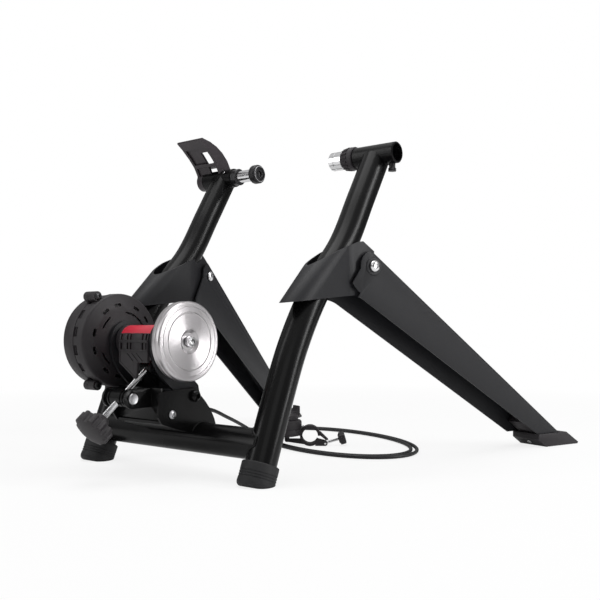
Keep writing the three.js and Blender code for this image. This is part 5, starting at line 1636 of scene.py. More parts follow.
class BuildClamp(bpy.types.Operator):
    """Bush, plunger, hexagonal insert and the clamp's handle"""

    bl_idname = "trainer.clamp"
    bl_label = "Quick clamp"

    def execute(self, context):
        self.plunger()
        self.insert()
        self.bush()
        self.handle()
        return {"FINISHED"}

    def plunger(self):
        c = CLAMP
        inner, length, radius = c["cup_inner"], c["cup_length"], c["cup_radius"]
        bore_end = c["spindle_inner"] - c["travel"] - c["spindle"] / 2
        dome = bend((radius - length / 4, inner), (radius, inner + 0.3), (radius, inner + length / 4), 8)
        waist = (radius, inner + length * 0.7)
        back = (c["cup_back"], inner + length)
        profile = [
            (0, inner),
            (radius - length / 4, inner),
            *dome,
            waist,
            *bend(waist, (radius, inner + length * 0.85), back, 8),
            (c["neck"], inner + length + FIT),
            (c["neck"], c["guide_inner"]),
            (c["guide"], c["guide_inner"] + FIT),
            (c["guide"], c["plunger_end"]),
            (c["spindle"] + FIT, c["plunger_end"]),
            (c["spindle"] + FIT, bore_end),
            (0, bore_end),
        ]
        solid = on_axle(lathe(profile))
        socket = rod_profile(c["hex_radius"], inner - OVERRUN, inner + c["hex_depth"] + FIT)
        cut(solid, on_axle(lathe(socket, 6)))
        split = inner + length
        half = block(-2 * radius, 2 * radius, 0, split, AXLE_HEIGHT - 2 * radius, AXLE_HEIGHT + 2 * radius)
        cup = common(twin(solid), twin(half))
        trim(cup, "clamp_cup", "insert", "plunger", crease=0.5)
        cut(solid, half)
        redo(solid, "clamp_plunger", "chrome", "plunger")

    def insert(self):
        c = CLAMP
        low, high = c["cup_inner"] + FIT, c["cup_inner"] + c["hex_depth"]
        solid = lathe(rod_profile(c["hex_radius"] - FIT, low, high), 6)
        bore = c["hex_radius"] / 2
        mouth = [(0, 0), (bore + 1, 0), (bore + 1, low), (bore, low + 1), (bore, low + 3), (0, low + 3)]
        cut(solid, lathe(mouth, SMALL_ROUND))
        on_axle(solid)
        redo(solid, "clamp_insert", "insert", "plunger", 0.3)
        outer, inner = c["cup_radius"] - c["ring_in"], c["cup_inner"]
        ring = tube_profile(outer, outer - c["ring_width"], inner - c["ring_stand"], inner - 0.05, 0.2)
        trim(on_axle(lathe(ring)), "clamp_cup_ring", "zinc", "plunger")

    def bush(self):
        c = CLAMP
        bore = BARREL["bore"] - FIT
        profile = [
            (c["neck"] + FIT, c["bush_inner"]),
            (c["bush_radius"] - 0.8, c["bush_inner"]),
            (c["bush_radius"], c["bush_inner"] + 0.8),
            (c["bush_radius"], BARREL["left_inner"] - FIT),
            (bore, BARREL["left_inner"] - FIT),
            (bore, c["bush_inner"] + c["bush_length"]),
            (c["neck"] + FIT, c["bush_inner"] + c["bush_length"]),
            (c["neck"] + FIT, c["bush_inner"]),
        ]
        solid = on_axle(lathe(profile))
        redo(solid, "clamp_bush", "blackened", "stand", slot="chrome")

    def handle(self):
        hub, inner, outer = HANDLE["hub"], HANDLE["inner"], HANDLE["outer"]
        wall, edge = HANDLE["wall"], HANDLE["edge"]

        def placed(shares):
            return [(x * hub, z * hub + AXLE_HEIGHT) for x, z in shares]

        walls = prism(placed([*HANDLE_BACK_SHARES, *HANDLE_FRONT_SHARES]), inner, outer, "Y")
        near, far = inner + wall, outer - wall
        front = placed(HANDLE_FRONT_SHARES)
        shallow = [*inset(front, HANDLE["recess"]), *placed([(-6, -0.4), (-6, 3.3)])]
        deep = [*inset(front, HANDLE["recess"] + HANDLE["web"]), *placed([(5, -0.4), (5, 6), (-3.1, 6)])]
        rooms = []
        for shares in (HANDLE_WINDOW_SHARES, HANDLE_SLOT_SHARES):
            for side in (shallow, deep):
                rooms.append(common(prism(placed(shares), near, far, "Y"), prism(side, inner, outer, "Y")))
        gaps = [
            prism(placed(shares), near + edge, near + edge + HANDLE["gap"], "Y")
            for shares in (HANDLE_GAP_SHARES, HANDLE_SLOT_SHARES)
        ]
        barrel_end = CLAMP["barrel_end"]
        room = pin_y(sizes().barrel_radius + FIT, 0, barrel_end + FIT, 0, AXLE_HEIGHT, ROUND)
        shell = cut(walls, *rooms, *gaps, room)
        seat = barrel_end + FIT
        cap = lathe([(0, seat), (hub, seat), *arc(hub - edge, outer - edge, edge, 0, 90, 4), (0, outer)])
        stem = lathe(rod_profile(CLAMP["spindle"], CLAMP["spindle_inner"], barrel_end + edge), SMALL_ROUND)
        solid = join(shell, on_axle(cap), on_axle(stem))
        redo(solid, "clamp_lever", "lever", "lever", 0.8, steps=3)


# Roller, flywheel and brake on one shaft
UNIT = {
    "roller_half": 31,
    "collar_length": 7.2,
    "shaft": 5,
    "shaft_right": 71.2,
    "nut_reach": 6,
    "wheel_face": 73,
    "wheel_back": 60,
    "wheel_hub": 13,
    "wheel_hub_back": 46,
    "bearing": 11,
    "bearing_length": 7,
    "drum_face": 44,
    "drum_seam": 60,
    "drum_end": 88,
    "lug_reach": 59,
    "lug_radius": 6,
}
WHEEL_GROOVE = {"pitch": 0.8, "depth": 0.07}
SHORT_SLOT_DEGREES = [10, 36, 63, 101, 127, 167, 195, 234, 260, 300, 326]
LONG_SLOT_DEGREES = [41, 71, 140, 219]
LUG_DEGREES = [0, 120, 240]
GLAND_RINGS = [(1.9, 0), (2, 0.5), (1.6, 2.6), (1.9, 3.2), (1.3, 5.6)]
GLAND_LENGTH = 5.8
SEAM_NOTCHES = 16
GLAND_CLEAR = 0.1


def to_shaft(solid):
    return shifted(solid, -SHAFT[0], 0, SHAFT[1])


def about_shaft(profile, segments=ROUND):
    return to_shaft(lathe(profile, segments))


class BuildTurning(bpy.types.Operator):
    """Roller, turned flywheel and its nut"""

    bl_idname = "trainer.turning"
    bl_label = "Roller and flywheel"

    def execute(self, context):
        self.roller()
        self.wheel()
        self.nut()
        dress("roller_shaft", finish("zinc"))
        dress("rotor_disc", finish("turned"))
        return {"FINISHED"}

    def roller(self):
        radius, half, bore = sizes().roller_radius, UNIT["roller_half"], UNIT["shaft"] + FIT
        edge = radius / 12
        end = half - UNIT["collar_length"]
        profile = [
            (bore, -half),
            (radius * 0.45, -half),
            (radius * 0.5, -half + 0.8),
            (radius * 0.8, -half + 0.8),
            (radius * 0.84, -half),
            *arc(radius - edge, -half + edge, edge, -90, 0, 5),
            (radius, end),
            (bore, end),
            (bore, -half),
        ]
        rim = radius + 0.4
        ring = [
            (bore, end + 0.05),
            (rim - 0.6, end + 0.05),
            (rim, end + 0.6),
            *arc(rim - edge, half - edge, edge, 0, 90, 5),
            (bore, half),
            (bore, end + 0.05),
        ]
        trim(about_shaft(ring), "roller_collar", "plastic", "turning")
        solid = about_shaft(profile)
        redo(solid, "roller", "red", "turning", crease=0.5)

    def wheel(self):
        radius, bore = sizes().wheel_radius, UNIT["shaft"] + FIT
        face, back, hub = -UNIT["wheel_face"], -UNIT["wheel_back"], UNIT["wheel_hub"]
        lip = radius / 24

        def grooves(start, end):
            count = round((end - start) / WHEEL_GROOVE["pitch"]) * 2
            steps = [start + (end - start) * i / count for i in range(1, count)]
            return [(r, face + WHEEL_GROOVE["depth"] * ((i + 1) % 2)) for i, r in enumerate(steps)]

        profile = [
            (bore, -UNIT["wheel_hub_back"]),
            (bore, face + lip * 1.5),
            (hub * 0.75, face + lip * 1.5),
            (hub * 0.8, face + lip * 1.3),
            (hub, face + 0.3),
            (hub + 0.4, face),
            *grooves(hub + 0.4, radius * 0.7),
            (radius * 0.7, face),
            (radius * 0.712, face + 0.4),
            (radius * 0.726, face + 0.4),
            (radius * 0.738, face),
            *grooves(radius * 0.738, radius * 0.86),
            (radius * 0.86, face),
            (radius * 0.866, face + 0.25),
            (radius * 0.876, face + 0.25),
            (radius * 0.882, face),
            *grooves(radius * 0.882, radius - lip),
            *arc(radius - lip, face + lip, lip, -90, 0, 6),
            (radius, face + 5.2),
            (radius - 0.5, face + 5.5),
            (radius - 0.5, face + 6.5),
            (radius, face + 6.8),
            *arc(radius - lip, back - lip, lip, 0, 90, 6),
            (radius * 0.8, back),
            (radius * 0.74, back - 3),
            (hub * 1.5, back - 3),
            (hub, back),
            (hub, -UNIT["wheel_hub_back"] - 0.8),
            (hub - 0.8, -UNIT["wheel_hub_back"]),
            (bore, -UNIT["wheel_hub_back"]),
        ]
        solid = about_shaft(profile, 128)
        redo(solid, "flywheel", "turned", "turning", crease=0.3)

    def nut(self):
        size, reach = UNIT["shaft"], UNIT["nut_reach"]
        seat = -UNIT["shaft_right"] - FIT
        end = seat - reach
        dome = arc(0, seat - reach * 0.6, size * 1.1, -24, 0, 4)
        tip = [(0, end), (size * 0.62, end), (size * 0.72, end + 0.4)]
        cone = lathe([*tip, *dome, (size * 1.2, seat), (0, seat)], 64)
        flats = lathe(rod_profile(size * 1.24, seat - reach * 1.1, seat + 1), 6)
        solid = to_shaft(common(cone, flats))
        redo(solid, "flywheel_nut", "chrome", "turning", 0.15)


# Yoke with its bearings, and the guard behind the roller
YOKE = {
    "pivot_back": 227,
    "pivot_height": 90.5,
    "pivot_radius": 12,
    "arm_inner": 32.6,
    "arm_wall": 4,
    "head": 23,
    "sleeve": 8.5,
    "boss_length": 6,
    "web_back": 240,
    "web_wall": 4,
    "web_low": 98,
    "web_high": 129,
    "lug_inner": 6.6,
    "lug_wall": 4,
    "lug_radius": 7.5,
}
ROD = {
    "angle": 39.5,
    "swivel_back": 300,
    "swivel_height": 91,
    "below": 52,
    "above": 52,
    "eye": 7.4,
    "eye_half": 6.2,
    "pin": 3.2,
    "swivel": 9.6,
    "swivel_groove": 1,
    "swivel_pin": 5,
    "swivel_cap": 6.2,
    "swivel_cap_rise": 1.6,
}


GUARD = {
    "end": 230,
    "inner": 21.5,
    "wall": 2.6,
    "left": 16.5,
    "right": 32.2,
    "top": 22,
    "skirt": 112,
    "hem": 23.5,
    "rib": 1.4,
    "slot": 2.7,
}
GUARD_SLOT_SHARES = [0.07, 0.285, 0.396, 0.811, 0.942]


def rod_end():
    """The middle of the rod's eye, seen from the side."""
    angle = math.radians(ROD["angle"])
    reach, rise = ROD["above"] * math.cos(angle), ROD["above"] * math.sin(angle)
    return (-ROD["swivel_back"] + reach, ROD["swivel_height"] + rise)


def yoke_arm():
    """Outline of the yoke's arm from the pivot to the shaft."""
    x, z, r = -YOKE["pivot_back"], YOKE["pivot_height"], YOKE["pivot_radius"]
    head = YOKE["head"]
    axle_x, axle_z = -SHAFT[0], SHAFT[1]
    shoulder = z + 2.6 * r
    return [
        (x + r, z),
        (x + r * 0.8, z + r),
        *bend((x + r * 0.8, z + r), (x - r * 1.1, shoulder), (axle_x + head, axle_z), 14),
        *arc(axle_x, axle_z, head, 4, 194, 40),
        *bend((axle_x - head, axle_z - 4), (axle_x - head, shoulder), (x - 2.1 * r, z + r * 0.5), 14),
        (x - r, z - r * 0.5),
        *arc(x, z, r, 211, 356, 24),
    ]


class BuildYoke(bpy.types.Operator):
    """Swinging yoke with rounded castings' edges, and the slotted guard"""

    bl_idname = "trainer.yoke"
    bl_label = "Yoke and guard"

    def execute(self, context):
        self.yoke()
        self.guard()
        for node in ("bearing_left", "bearing_right", "rod_pin"):
            dress(node, finish("zinc"))
        return {"FINISHED"}

    def yoke(self):
        y = YOKE
        outer = y["arm_inner"] + y["arm_wall"]
        boss = UNIT["bearing"] + y["arm_wall"]
        arms = plates(yoke_arm(), y["arm_inner"], outer)
        bosses = [
            about_shaft(rod_profile(boss, y["arm_inner"], outer + y["boss_length"])),
            about_shaft(rod_profile(boss, -outer - y["boss_length"], -y["arm_inner"])),
        ]
        back, half = -y["web_back"], outer - FIT
        web = block(back, back + y["web_wall"], -half, half, y["web_low"], y["web_high"])
        bridge = pin_y(y["sleeve"], -half, half, -y["pivot_back"], y["pivot_height"], ROUND)
        end_x, end_z = rod_end()
        lug = [
            (back + y["web_wall"] / 2, y["web_low"] + 0.6),
            (back + y["web_wall"] / 2, y["web_high"] - FIT),
            *arc(end_x, end_z, y["lug_radius"], 80, 280, 20),
        ]
        lugs = plates(lug, y["lug_inner"], y["lug_inner"] + y["lug_wall"])
        clear = UNIT["bearing"] + FIT
        seat = y["arm_inner"] + y["arm_wall"] + y["boss_length"] - UNIT["bearing_length"]
        tools = [
            about_shaft(rod_profile(clear, seat - FIT, OVERRUN)),
            about_shaft(rod_profile(clear, -OVERRUN, FIT - seat)),
            about_shaft(rod_profile(UNIT["shaft"] + 3 * FIT, -OVERRUN, OVERRUN)),
            pin_y(BRACKET["bolt"] + FIT, -OVERRUN, OVERRUN, -y["pivot_back"], y["pivot_height"]),
            pin_y(ROD["pin"] + FIT, -OVERRUN / 2, OVERRUN / 2, end_x, end_z),
        ]
        solid = cut(join(web, *arms, *bosses, bridge, *lugs), *tools)
        redo(solid, "yoke", "coat", "unit", 0.7, steps=3)

    def guard(self):
        g = GUARD
        inner, outer = g["inner"], g["inner"] + g["wall"]
        x, z = -SHAFT[0], SHAFT[1]
        back, left, right = x - outer, g["left"], g["right"]
        top, end = 180 - g["top"], g["end"]
        ring = [*arc(x, z, outer, top, end, 30), *arc(x, z, inner, end, top, 30)]
        shell = prism(ring, -right, left, "Y")
        wall, rib, skirt, hem = g["wall"], g["rib"], g["skirt"], z - g["hem"]
        corner, foot = (left, z - outer), (-right / 3, skirt)
        plate = [
            (left, z),
            corner,
            foot,
            (-right / 3 - 2.6, skirt + 2),
            (-right / 2 + 1.6, hem),
            (-right, hem),
            (-right, z),
        ]
        pieces = [prism(plate, back, back + wall, "X")]
        proud = back - rib / 2
        for row in (0, 1):
            level = z - row * outer * 0.42
            pieces.append(block(back - rib, back + wall, -right, left, level - rib / 2, level + rib / 2))
        pieces.append(block(proud, back + wall, left - rib, left, z - outer, z))
        pieces.append(block(proud, back + wall, -right, rib - right, hem, z))
        brace = [corner, foot, (foot[0], foot[1] + 1.5 * rib), (corner[0] - rib, corner[1] + rib)]
        pieces.append(prism(brace, proud, back + wall, "X"))
        slots = []
        for share in GUARD_SLOT_SHARES:
            y, half = left - (left + right) * share, g["slot"] / 2
            for low, high in ((z + rib, z + outer * 0.35), (z - outer * 0.38, z - rib)):
                corners = [(y - half, low), (y + half, low), (y + half, high), (y - half, high)]
                slots.append(prism(rounded(corners, half / 2), back - OVERRUN, back + inner / 2, "X"))
        for i in range(3):
            y, top, low = left / 4 - i * right / 4, z - outer * 0.55, hem + rib
            slit = [(y, top), (y - right / 3, low), (y - right / 3 - rib, low), (y - rib, top)]
            slots.append(prism(slit, back - OVERRUN, back + inner / 2, "X"))
        solid = cut(join(shell, *pieces), *slots)
        redo(solid, "roller_guard", "plastic", "unit", 0.35)


# Brake drum
def arc_slot(radius, width, centre, span):
    """A curved slot's outline with round ends."""
    x, z = -SHAFT[0], SHAFT[1]
    low, high = centre - span / 2, centre + span / 2
    ends = []
    for a, first in ((high, high), (low, low + 180)):
        cx = x + radius * math.cos(math.radians(a))
        cz = z + radius * math.sin(math.radians(a))
        ends.append(arc(cx, cz, width / 2, first, first + 180, 8))
    outer = arc(x, z, radius + width / 2, low, high, 8)[1:-1]
    inner = arc(x, z, radius - width / 2, high, low, 8)[1:-1]
    return [*outer, *ends[0], *inner, *ends[1]]


def lug_place(degrees):
    a = math.radians(degrees)
    return (-SHAFT[0] + UNIT["lug_reach"] * math.cos(a), SHAFT[1] + UNIT["lug_reach"] * math.sin(a))


def lug_pins(radius, low, high):
    return [pin_y(radius, low, high, *lug_place(degrees), 32) for degrees in LUG_DEGREES]


class BuildDrum(bpy.types.Operator):
    """Slotted inner shell, dished outer shell, their screws and the cable's gland"""

    bl_idname = "trainer.drum"
    bl_label = "Brake drum"

    def execute(self, context):
        self.inner_shell()
        self.outer_shell()
        for i, degrees in enumerate(LUG_DEGREES):
            self.screw(i + 1, degrees)
        dress("magnet_carrier", finish("plastic"))
        dress("magnet_ring", finish("zinc"))
        return {"FINISHED"}

    def inner_shell(self):
        drum, shell = sizes().drum_radius, sizes().shell
        face, seam = UNIT["drum_face"], UNIT["drum_seam"]
        hub_face = YOKE["arm_inner"] + YOKE["arm_wall"] + FIT
        hub = UNIT["bearing"] + YOKE["arm_wall"] + FIT
        shoulder = spline_profile(
            [
                (drum * 0.75, hub_face + shell * 0.8),
                (drum * 0.9, face - shell * 0.75),
                (drum * 0.965, face - shell * 0.3),
                (drum * 0.99, face + shell * 0.15),
                (drum, face + shell * 0.9),
            ],
            24,
        )
        profile = [
            (hub, hub_face),
            (drum * 0.5, hub_face + shell * 0.62),
            *shoulder,
            (drum, seam),
            (drum - shell, seam),
            (drum - shell, face + shell * 1.8),
            (drum * 0.88, face + shell * 0.8),
            (drum * 0.74, hub_face + 2 * shell),
            (hub, hub_face + shell),
            (hub, hub_face),
        ]
        body = about_shaft(profile, 128)
        radius = UNIT["lug_radius"]
        lugs = lug_pins(radius, face + shell * 2, seam)
        slots = []
        short, long = (SHORT_SLOT_DEGREES, drum * 0.765), (LONG_SLOT_DEGREES, drum * 0.6)
        for (degrees, ring), width, span, low in (
            (short, 1.4, 8, 0),
            (long, 0.85, 25, 0),
            (short, 1.7, 11, hub_face + shell * 1.5),
            (long, 2.2, 31, hub_face + shell * 1.05),
        ):
            slots += [prism(arc_slot(ring, shell * width, d, span), low, seam, "Y") for d in degrees]
        notches = []
        for i in range(SEAM_NOTCHES):
            a = (i + 0.5) * 2 * math.pi / SEAM_NOTCHES
            notch = block(-shell * 2, shell, -shell * 2.1, shell, -shell * 2.2, shell * 2.2)
            moved(notch, Matrix.Rotation(-a, 4, "Y"))
            x, z = drum * math.cos(a) - SHAFT[0], drum * math.sin(a) + SHAFT[1]
            notches.append(shifted(notch, x, seam, z))
        solid = cut(cut(body, *notches, *slots), *lug_pins(radius / 3 + FIT, 0, 2 * OVERRUN))
        solid = cut(join(solid, *lugs), *lug_pins(radius / 3 + FIT, 0, 2 * OVERRUN))
        redo(solid, "drum_inner_shell", "plastic", "unit", 0.3)

    def outer_shell(self):
        drum, shell = sizes().drum_radius, sizes().shell
        rim = drum - 1.1 * shell
        bore = drum - 1.6 * shell
        step = UNIT["drum_seam"] + FIT
        end, hub = UNIT["drum_end"], UNIT["wheel_hub"]
        dish = spline_profile(
            [
                (drum * 0.97, end - 3 * shell),
                (drum * 0.94, end - 1.8 * shell),
                (drum * 0.88, end - 0.75 * shell),
                (drum * 0.78, end),
            ],
            20,
        )
        profile = [
            (bore, step),
            (rim, step),
            (rim, step + shell * 0.7),
            (drum * 0.985, step + shell * 0.8),
            *dish,
            (drum * 0.55, end),
            (drum * 0.54, end - 0.6),
            (drum * 0.5, end - 0.6),
            (drum * 0.49, end),
            (hub, end),
            (hub * 0.8, end - shell),
            (hub * 0.8, end - 1.6 * shell),
            (drum * 0.5, end - shell),
            (drum * 0.76, end - shell),
            (drum * 0.86, end - 2 * shell),
            (bore, end - 3.6 * shell),
            (bore, step),
        ]
        body = about_shaft(profile, 128)
        radius = UNIT["lug_radius"]
        lugs = lug_pins(radius, step, step + shell * 3)
        holes = lug_pins(radius / 3 + FIT, 0, 2 * OVERRUN)
        gland_x, gland_y = CABLE_ROUTE[0][:2]
        cable = sizes().cable_radius
        bottom = SHAFT[1] - drum - 3 * cable
        gland = pin_z(cable * 2, bottom, SHAFT[1] - bore - FIT, gland_x, gland_y)
        way = pin_z(cable + FIT, 0, SHAFT[1] - drum + shell, gland_x, gland_y)
        solid = cut(join(body, *lugs, gland), *holes, way)
        redo(solid, "drum_outer_shell", "plastic", "unit", 0.4)
        rings = [(cable * width, y) for width, y in GLAND_RINGS]
        way = cable + GLAND_CLEAR
        profile = [(way, 0), *rings, (way, GLAND_LENGTH), (way, 0)]
        sleeve = moved(lathe(profile, SMALL_ROUND), turned(-90, "X"))
        shifted(sleeve, gland_x, gland_y, bottom)
        trim(sleeve, "cable_gland", "rubber", "unit")

    def screw(self, number, degrees):
        shell, radius = sizes().shell, UNIT["lug_radius"]
        reach = UNIT["drum_seam"] - UNIT["drum_face"] + shell
        solid = moved(dome_screw(radius / 3, reach, radius * 0.7, radius / 3), MIRROR)
        x, z = lug_place(degrees)
        shifted(solid, x, UNIT["drum_face"] + 2 * shell - FIT, z)
        redo(solid, "drum_screw_%d" % number, "blackened", "unit")


def spline_profile(points, count):
    return [(p.x, p.y) for p in spline([(x, y, 0) for x, y in points], count)]


# Bracket on the cross tube, ears, bolts and the adjuster
BRACKET = {
    "half": 40,
    "wall": 3,
    "web": 3,
    "round": 9.5,
    "bolt": 4,
    "bolt_head": 6.6,
    "bolt_head_height": 7,
    "nut_height": 6,
    "tie_back": 261,
    "tie_height": 72,
    "tie_radius": 3,
    "tie_head": 5,
    "tie_head_height": 3,
}
EARS = {"inner": 16.9, "wall": 3, "round": 11, "plate_back": 270.6, "plate_wall": 3}
CHEEK_FRONT_SHARES = [
    (-0.893, 1.24),
    (-0.9, 1.36),
    (-0.91, 1.51),
    (-0.938, 1.77),
    (-0.98, 2.03),
    (-1.014, 2.2),
]
CHEEK_BACK_SHARES = [
    (-1.06, 2.41),
    (-1.27, 2.38),
    (-1.31, 2.3),
    (-1.31, 1.69),
    (-1.285, 1.5),
    (-1.22, 1.38),
    (-1.1, 1.2),
    (-1, 1.2),
]


class BuildBracket(bpy.types.Operator):
    """Welded bracket with its ears, bolts and nuts"""

    bl_idname = "trainer.bracket"
    bl_label = "Bracket"

    def execute(self, context):
        self.body()
        self.ears()
        self.bolts()
        return {"FINISHED"}

    def body(self):
        b = BRACKET
        front = scaled(CHEEK_FRONT_SHARES, CROSS["back"], CROSS["height"])
        back = scaled(CHEEK_BACK_SHARES, CROSS["back"], CROSS["height"])
        outline = [*front, *arc(-YOKE["pivot_back"], YOKE["pivot_height"], b["round"], 18, 90, 12), *back]
        half, wall, web = b["half"], b["wall"], b["web"]
        cheeks = plates(outline, half - wall, half)
        inside = half - FIT
        lower = [back[4], back[6], (back[6][0], back[6][1] + web), (back[4][0], back[4][1] + web)]
        floor = prism(lower, -inside, inside, "Y")
        face = [*front[:4], *[(front[i][0] - web, front[i][1]) for i in (3, 2, 1, 0)]]
        nose = prism(face, -inside, inside, "Y")
        tools = [
            pin_y(sizes().tube_radius + FIT, -OVERRUN, OVERRUN, -CROSS["back"], CROSS["height"], ROUND),
            pin_y(b["bolt"] + FIT, -OVERRUN, OVERRUN, -YOKE["pivot_back"], YOKE["pivot_height"]),
            pin_y(b["tie_radius"] + FIT, -OVERRUN, OVERRUN, -b["tie_back"], b["tie_height"]),
        ]
        solid = cut(join(floor, *cheeks, nose), *tools)
        redo(solid, "base_bracket", "paint", "stand", 0.5)
        ring = sizes().tube_radius + 0.9
        for side in (1, -1):
            path = [
                Vector((-CROSS["back"] + x, side * (half + 0.3), CROSS["height"] + z))
                for x, z in arc(0, 0, ring, 24, 150, 40)
            ]
            word = "left" if side > 0 else "right"
            bead(path, sizes().bead * 0.9, "bracket_bead_" + word, closed=False)

    def ears(self):
        e = EARS
        x, z = -ROD["swivel_back"], ROD["swivel_height"]
        back, turn = -e["plate_back"], e["round"]
        ear = [(back, z - turn), (back, z + turn), *arc(x, z, turn, 90, 270, 32)]
        cheeks = plates(ear, e["inner"], e["inner"] + e["wall"])
        half = BRACKET["half"] - BRACKET["wall"] - FIT
        low = BRACKET["tie_height"] - 1.2 * BRACKET["tie_head"]
        plate = block(back - e["plate_wall"], back + FIT, -half, half, low, z + turn - FIT)
        solid = cut(join(plate, *cheeks), pin_y(ROD["swivel_pin"] + FIT, -OVERRUN, OVERRUN, x, z))
        redo(solid, "adjuster_ears", "paint", "stand", 0.5)

    def bolts(self):
        b = BRACKET
        seat = b["half"] + FIT
        x, z = -YOKE["pivot_back"], YOKE["pivot_height"]
        reach = 2 * seat + 1.2 * b["nut_height"]
        bolt = shifted(dome_screw(b["bolt"], reach, b["bolt_head"], b["bolt_head_height"]), 0, seat, 0)
        shifted(moved(bolt, MIRROR), x, 0, z)
        redo(bolt, "pivot_bolt", "paint", "stand")
        nut = shifted(hex_nut(b["bolt_head"], b["bolt"], seat, seat + b["nut_height"]), x, 0, z)
        redo(nut, "pivot_nut", "zinc", "stand", crease=0.4)
        reach = 2 * seat + b["tie_head_height"]
        tie = shifted(dome_screw(b["tie_radius"], reach, b["tie_head"], b["tie_head_height"]), 0, seat, 0)
        shifted(moved(tie, MIRROR), -b["tie_back"], 0, b["tie_height"])
        redo(tie, "tie_bolt", "zinc", "stand")


KNOB = {
    "lobes": 10,
    "lobe_share": 0.15,
    "squareness": 2.4,
    "thickness": 16,
    "edge": 1.2,
    "crown": 4.5,
    "hub": 9,
    "hub_length": 8,
    "seat": 32,
}
SWIVEL_GROOVE_SHARES = [-0.92, -0.64, 0.5, 0.78]


def along_rod(solid):
    """Turns a solid made along Y into the rod's line, with the swivel at 0."""
    turn = turned(-ROD["angle"], "Y") @ turned(-90, "Z")
    return moved(solid, Matrix.Translation((-ROD["swivel_back"], 0, ROD["swivel_height"])) @ turn)


class BuildAdjuster(bpy.types.Operator):
    """Swivel nut, threaded rod with its eye, and the lobed knob"""

    bl_idname = "trainer.adjuster"
    bl_label = "Adjuster"

    def execute(self, context):
        self.swivel()
        self.rod()
        self.knob()
        return {"FINISHED"}

    def swivel(self):
        radius, depth, pin = ROD["swivel"], ROD["swivel_groove"], ROD["swivel_pin"]
        half = EARS["inner"] - FIT
        end = EARS["inner"] + EARS["wall"] + FIT
        groove = half / 7
        profile = [(0, -end), (pin - 0.5, -end), (pin, -end + 0.5), (pin, -half), (radius, -half)]
        for share in SWIVEL_GROOVE_SHARES:
            y = share * half
            floor = radius - depth
            profile += [(radius, y), (floor, y + 0.2), (floor, y + groove - 0.2), (radius, y + groove)]
        profile += [(radius, half), (pin, half), (pin, end - 0.5), (pin - 0.5, end), (0, end)]
        body = shifted(lathe(profile, 64), -ROD["swivel_back"], 0, ROD["swivel_height"])
        way = along_rod(lathe(rod_profile(sizes().rod_radius + FIT, -OVERRUN, OVERRUN), SMALL_ROUND))
        solid = cut(body, way)
        redo(solid, "swivel_nut", "paint", "swivel")
        cap, rise = ROD["swivel_cap"], ROD["swivel_cap_rise"]
        dome = arc(cap - rise, end + rise / 2, rise, 0, 60, 4)
        head = [(0, end), (cap, end), (cap, end + rise / 2), *dome, (0, end + rise)]
        for word, solid in (("left", lathe(head, 64)), ("right", moved(lathe(head, 64), MIRROR))):
            shifted(solid, -ROD["swivel_back"], 0, ROD["swivel_height"])
            trim(solid, "swivel_cap_" + word, "zinc", "swivel")

    def rod(self):
        radius, pitch = sizes().rod_radius, sizes().thread_pitch
        thread = along_rod(threaded(radius, -ROD["below"], ROD["above"], pitch, 0.6, 32))
        end_x, end_z = rod_end()
        eye = pin_y(ROD["eye"], -ROD["eye_half"], ROD["eye_half"], end_x, end_z, 64, 0.6)
        redo(cut(thread, twin(eye)), "adjuster_rod", "chrome", "rod")
        cut(eye, pin_y(ROD["pin"] + FIT, -OVERRUN, OVERRUN, end_x, end_z))
        trim(eye, "rod_eye", "paint", "rod")

    def knob(self):
        k = KNOB
        radius = sizes().knob_radius
        thickness = k["thickness"]
        low = -k["seat"] - k["hub_length"] - thickness
        depth = radius * k["lobe_share"] / 2

        def lobe(a):
            return radius - depth + depth * math.tanh(k["squareness"] * math.cos(k["lobes"] * a))

        outline = [(x, z) for z, x in lobed(240, lobe)]
        grip = prism(outline, low, low + thickness, "Y")
        bevel(grip, k["edge"], 3, math.radians(60))
        hub = k["hub"]
        seat = -k["seat"]
        neck = lathe([(0, low + 4), (hub, low + 4), (hub, seat - 1), (hub - 1, seat), (0, seat)], 64)
        top = bend((0, low), (radius * 0.7, low), (radius + 1, low + k["crown"]), 10)
        dome = lathe([(0, low), *top, (radius + 1, 0), (0, 0)])
        bore = lathe(rod_profile(sizes().rod_radius + FIT, -ROD["below"] - FIT, OVERRUN), SMALL_ROUND)
        solid = along_rod(cut(common(join(grip, neck), dome), bore))
        redo(solid, "adjuster_knob", "plastic", "knob", crease=0.6)


# Remote lever with its handlebar clamp
REMOTE = {
    "x": 39.3,
    "y": 1.9,
    "z": 14.8,
    "turn": -50.9,
    "jaw": 3.6,
    "half": 9,
    "body": 30,
    "body_out": 42,
    "body_low": 0,
    "body_high": 22,
    "skirt": 5,
    "bridge": 13,
    "hinge": 33,
    "hinge_drop": 5.5,
    "lug": 2.5,
    "knuckle": 3.4,
    "pin": 1.6,
    "flange_reach": 26,
    "flange_rise": 5,
    "flange_drop": 6,
    "eye_out": 21.5,
    "eye_drop": 11.2,
    "eye": 3.2,
    "eye_half": 2.6,
    "trunnion": 1.3,
    "screw": 2,
    "screw_rise": 16.3,
    "screw_out": 30.5,
    "gland_reach": 3.2,
    "knob_from": 20,
    "knob": 9.2,
    "knob_length": 10,
}
DIAL = {
    "radius": 25,
    "height": 9,
    "heading": 30,
    "tip": 28,
    "tip_root": 15,
    "rise": 10,
    "width": 13,
    "lip": 2,
}
JAW_ARC = (187.2, 334.8)
REMOTE_SEAM = [(0, 9), (0.5, 9.3), (0.5, 9.9), (0, 10.2)]
REMOTE_SCREW = (1.6, 1, 3.1, 1.4)
REMOTE_GLAND = [
    (2.6, 0),
    (4, 0),
    (4.2, 0.4),
    (3.8, 1.4),
    (4.1, 1.8),
    (3.6, 2.8),
    (4, 3.2),
    (4.6, 5),
    (2.6, 5),
    (2.6, 0),
]


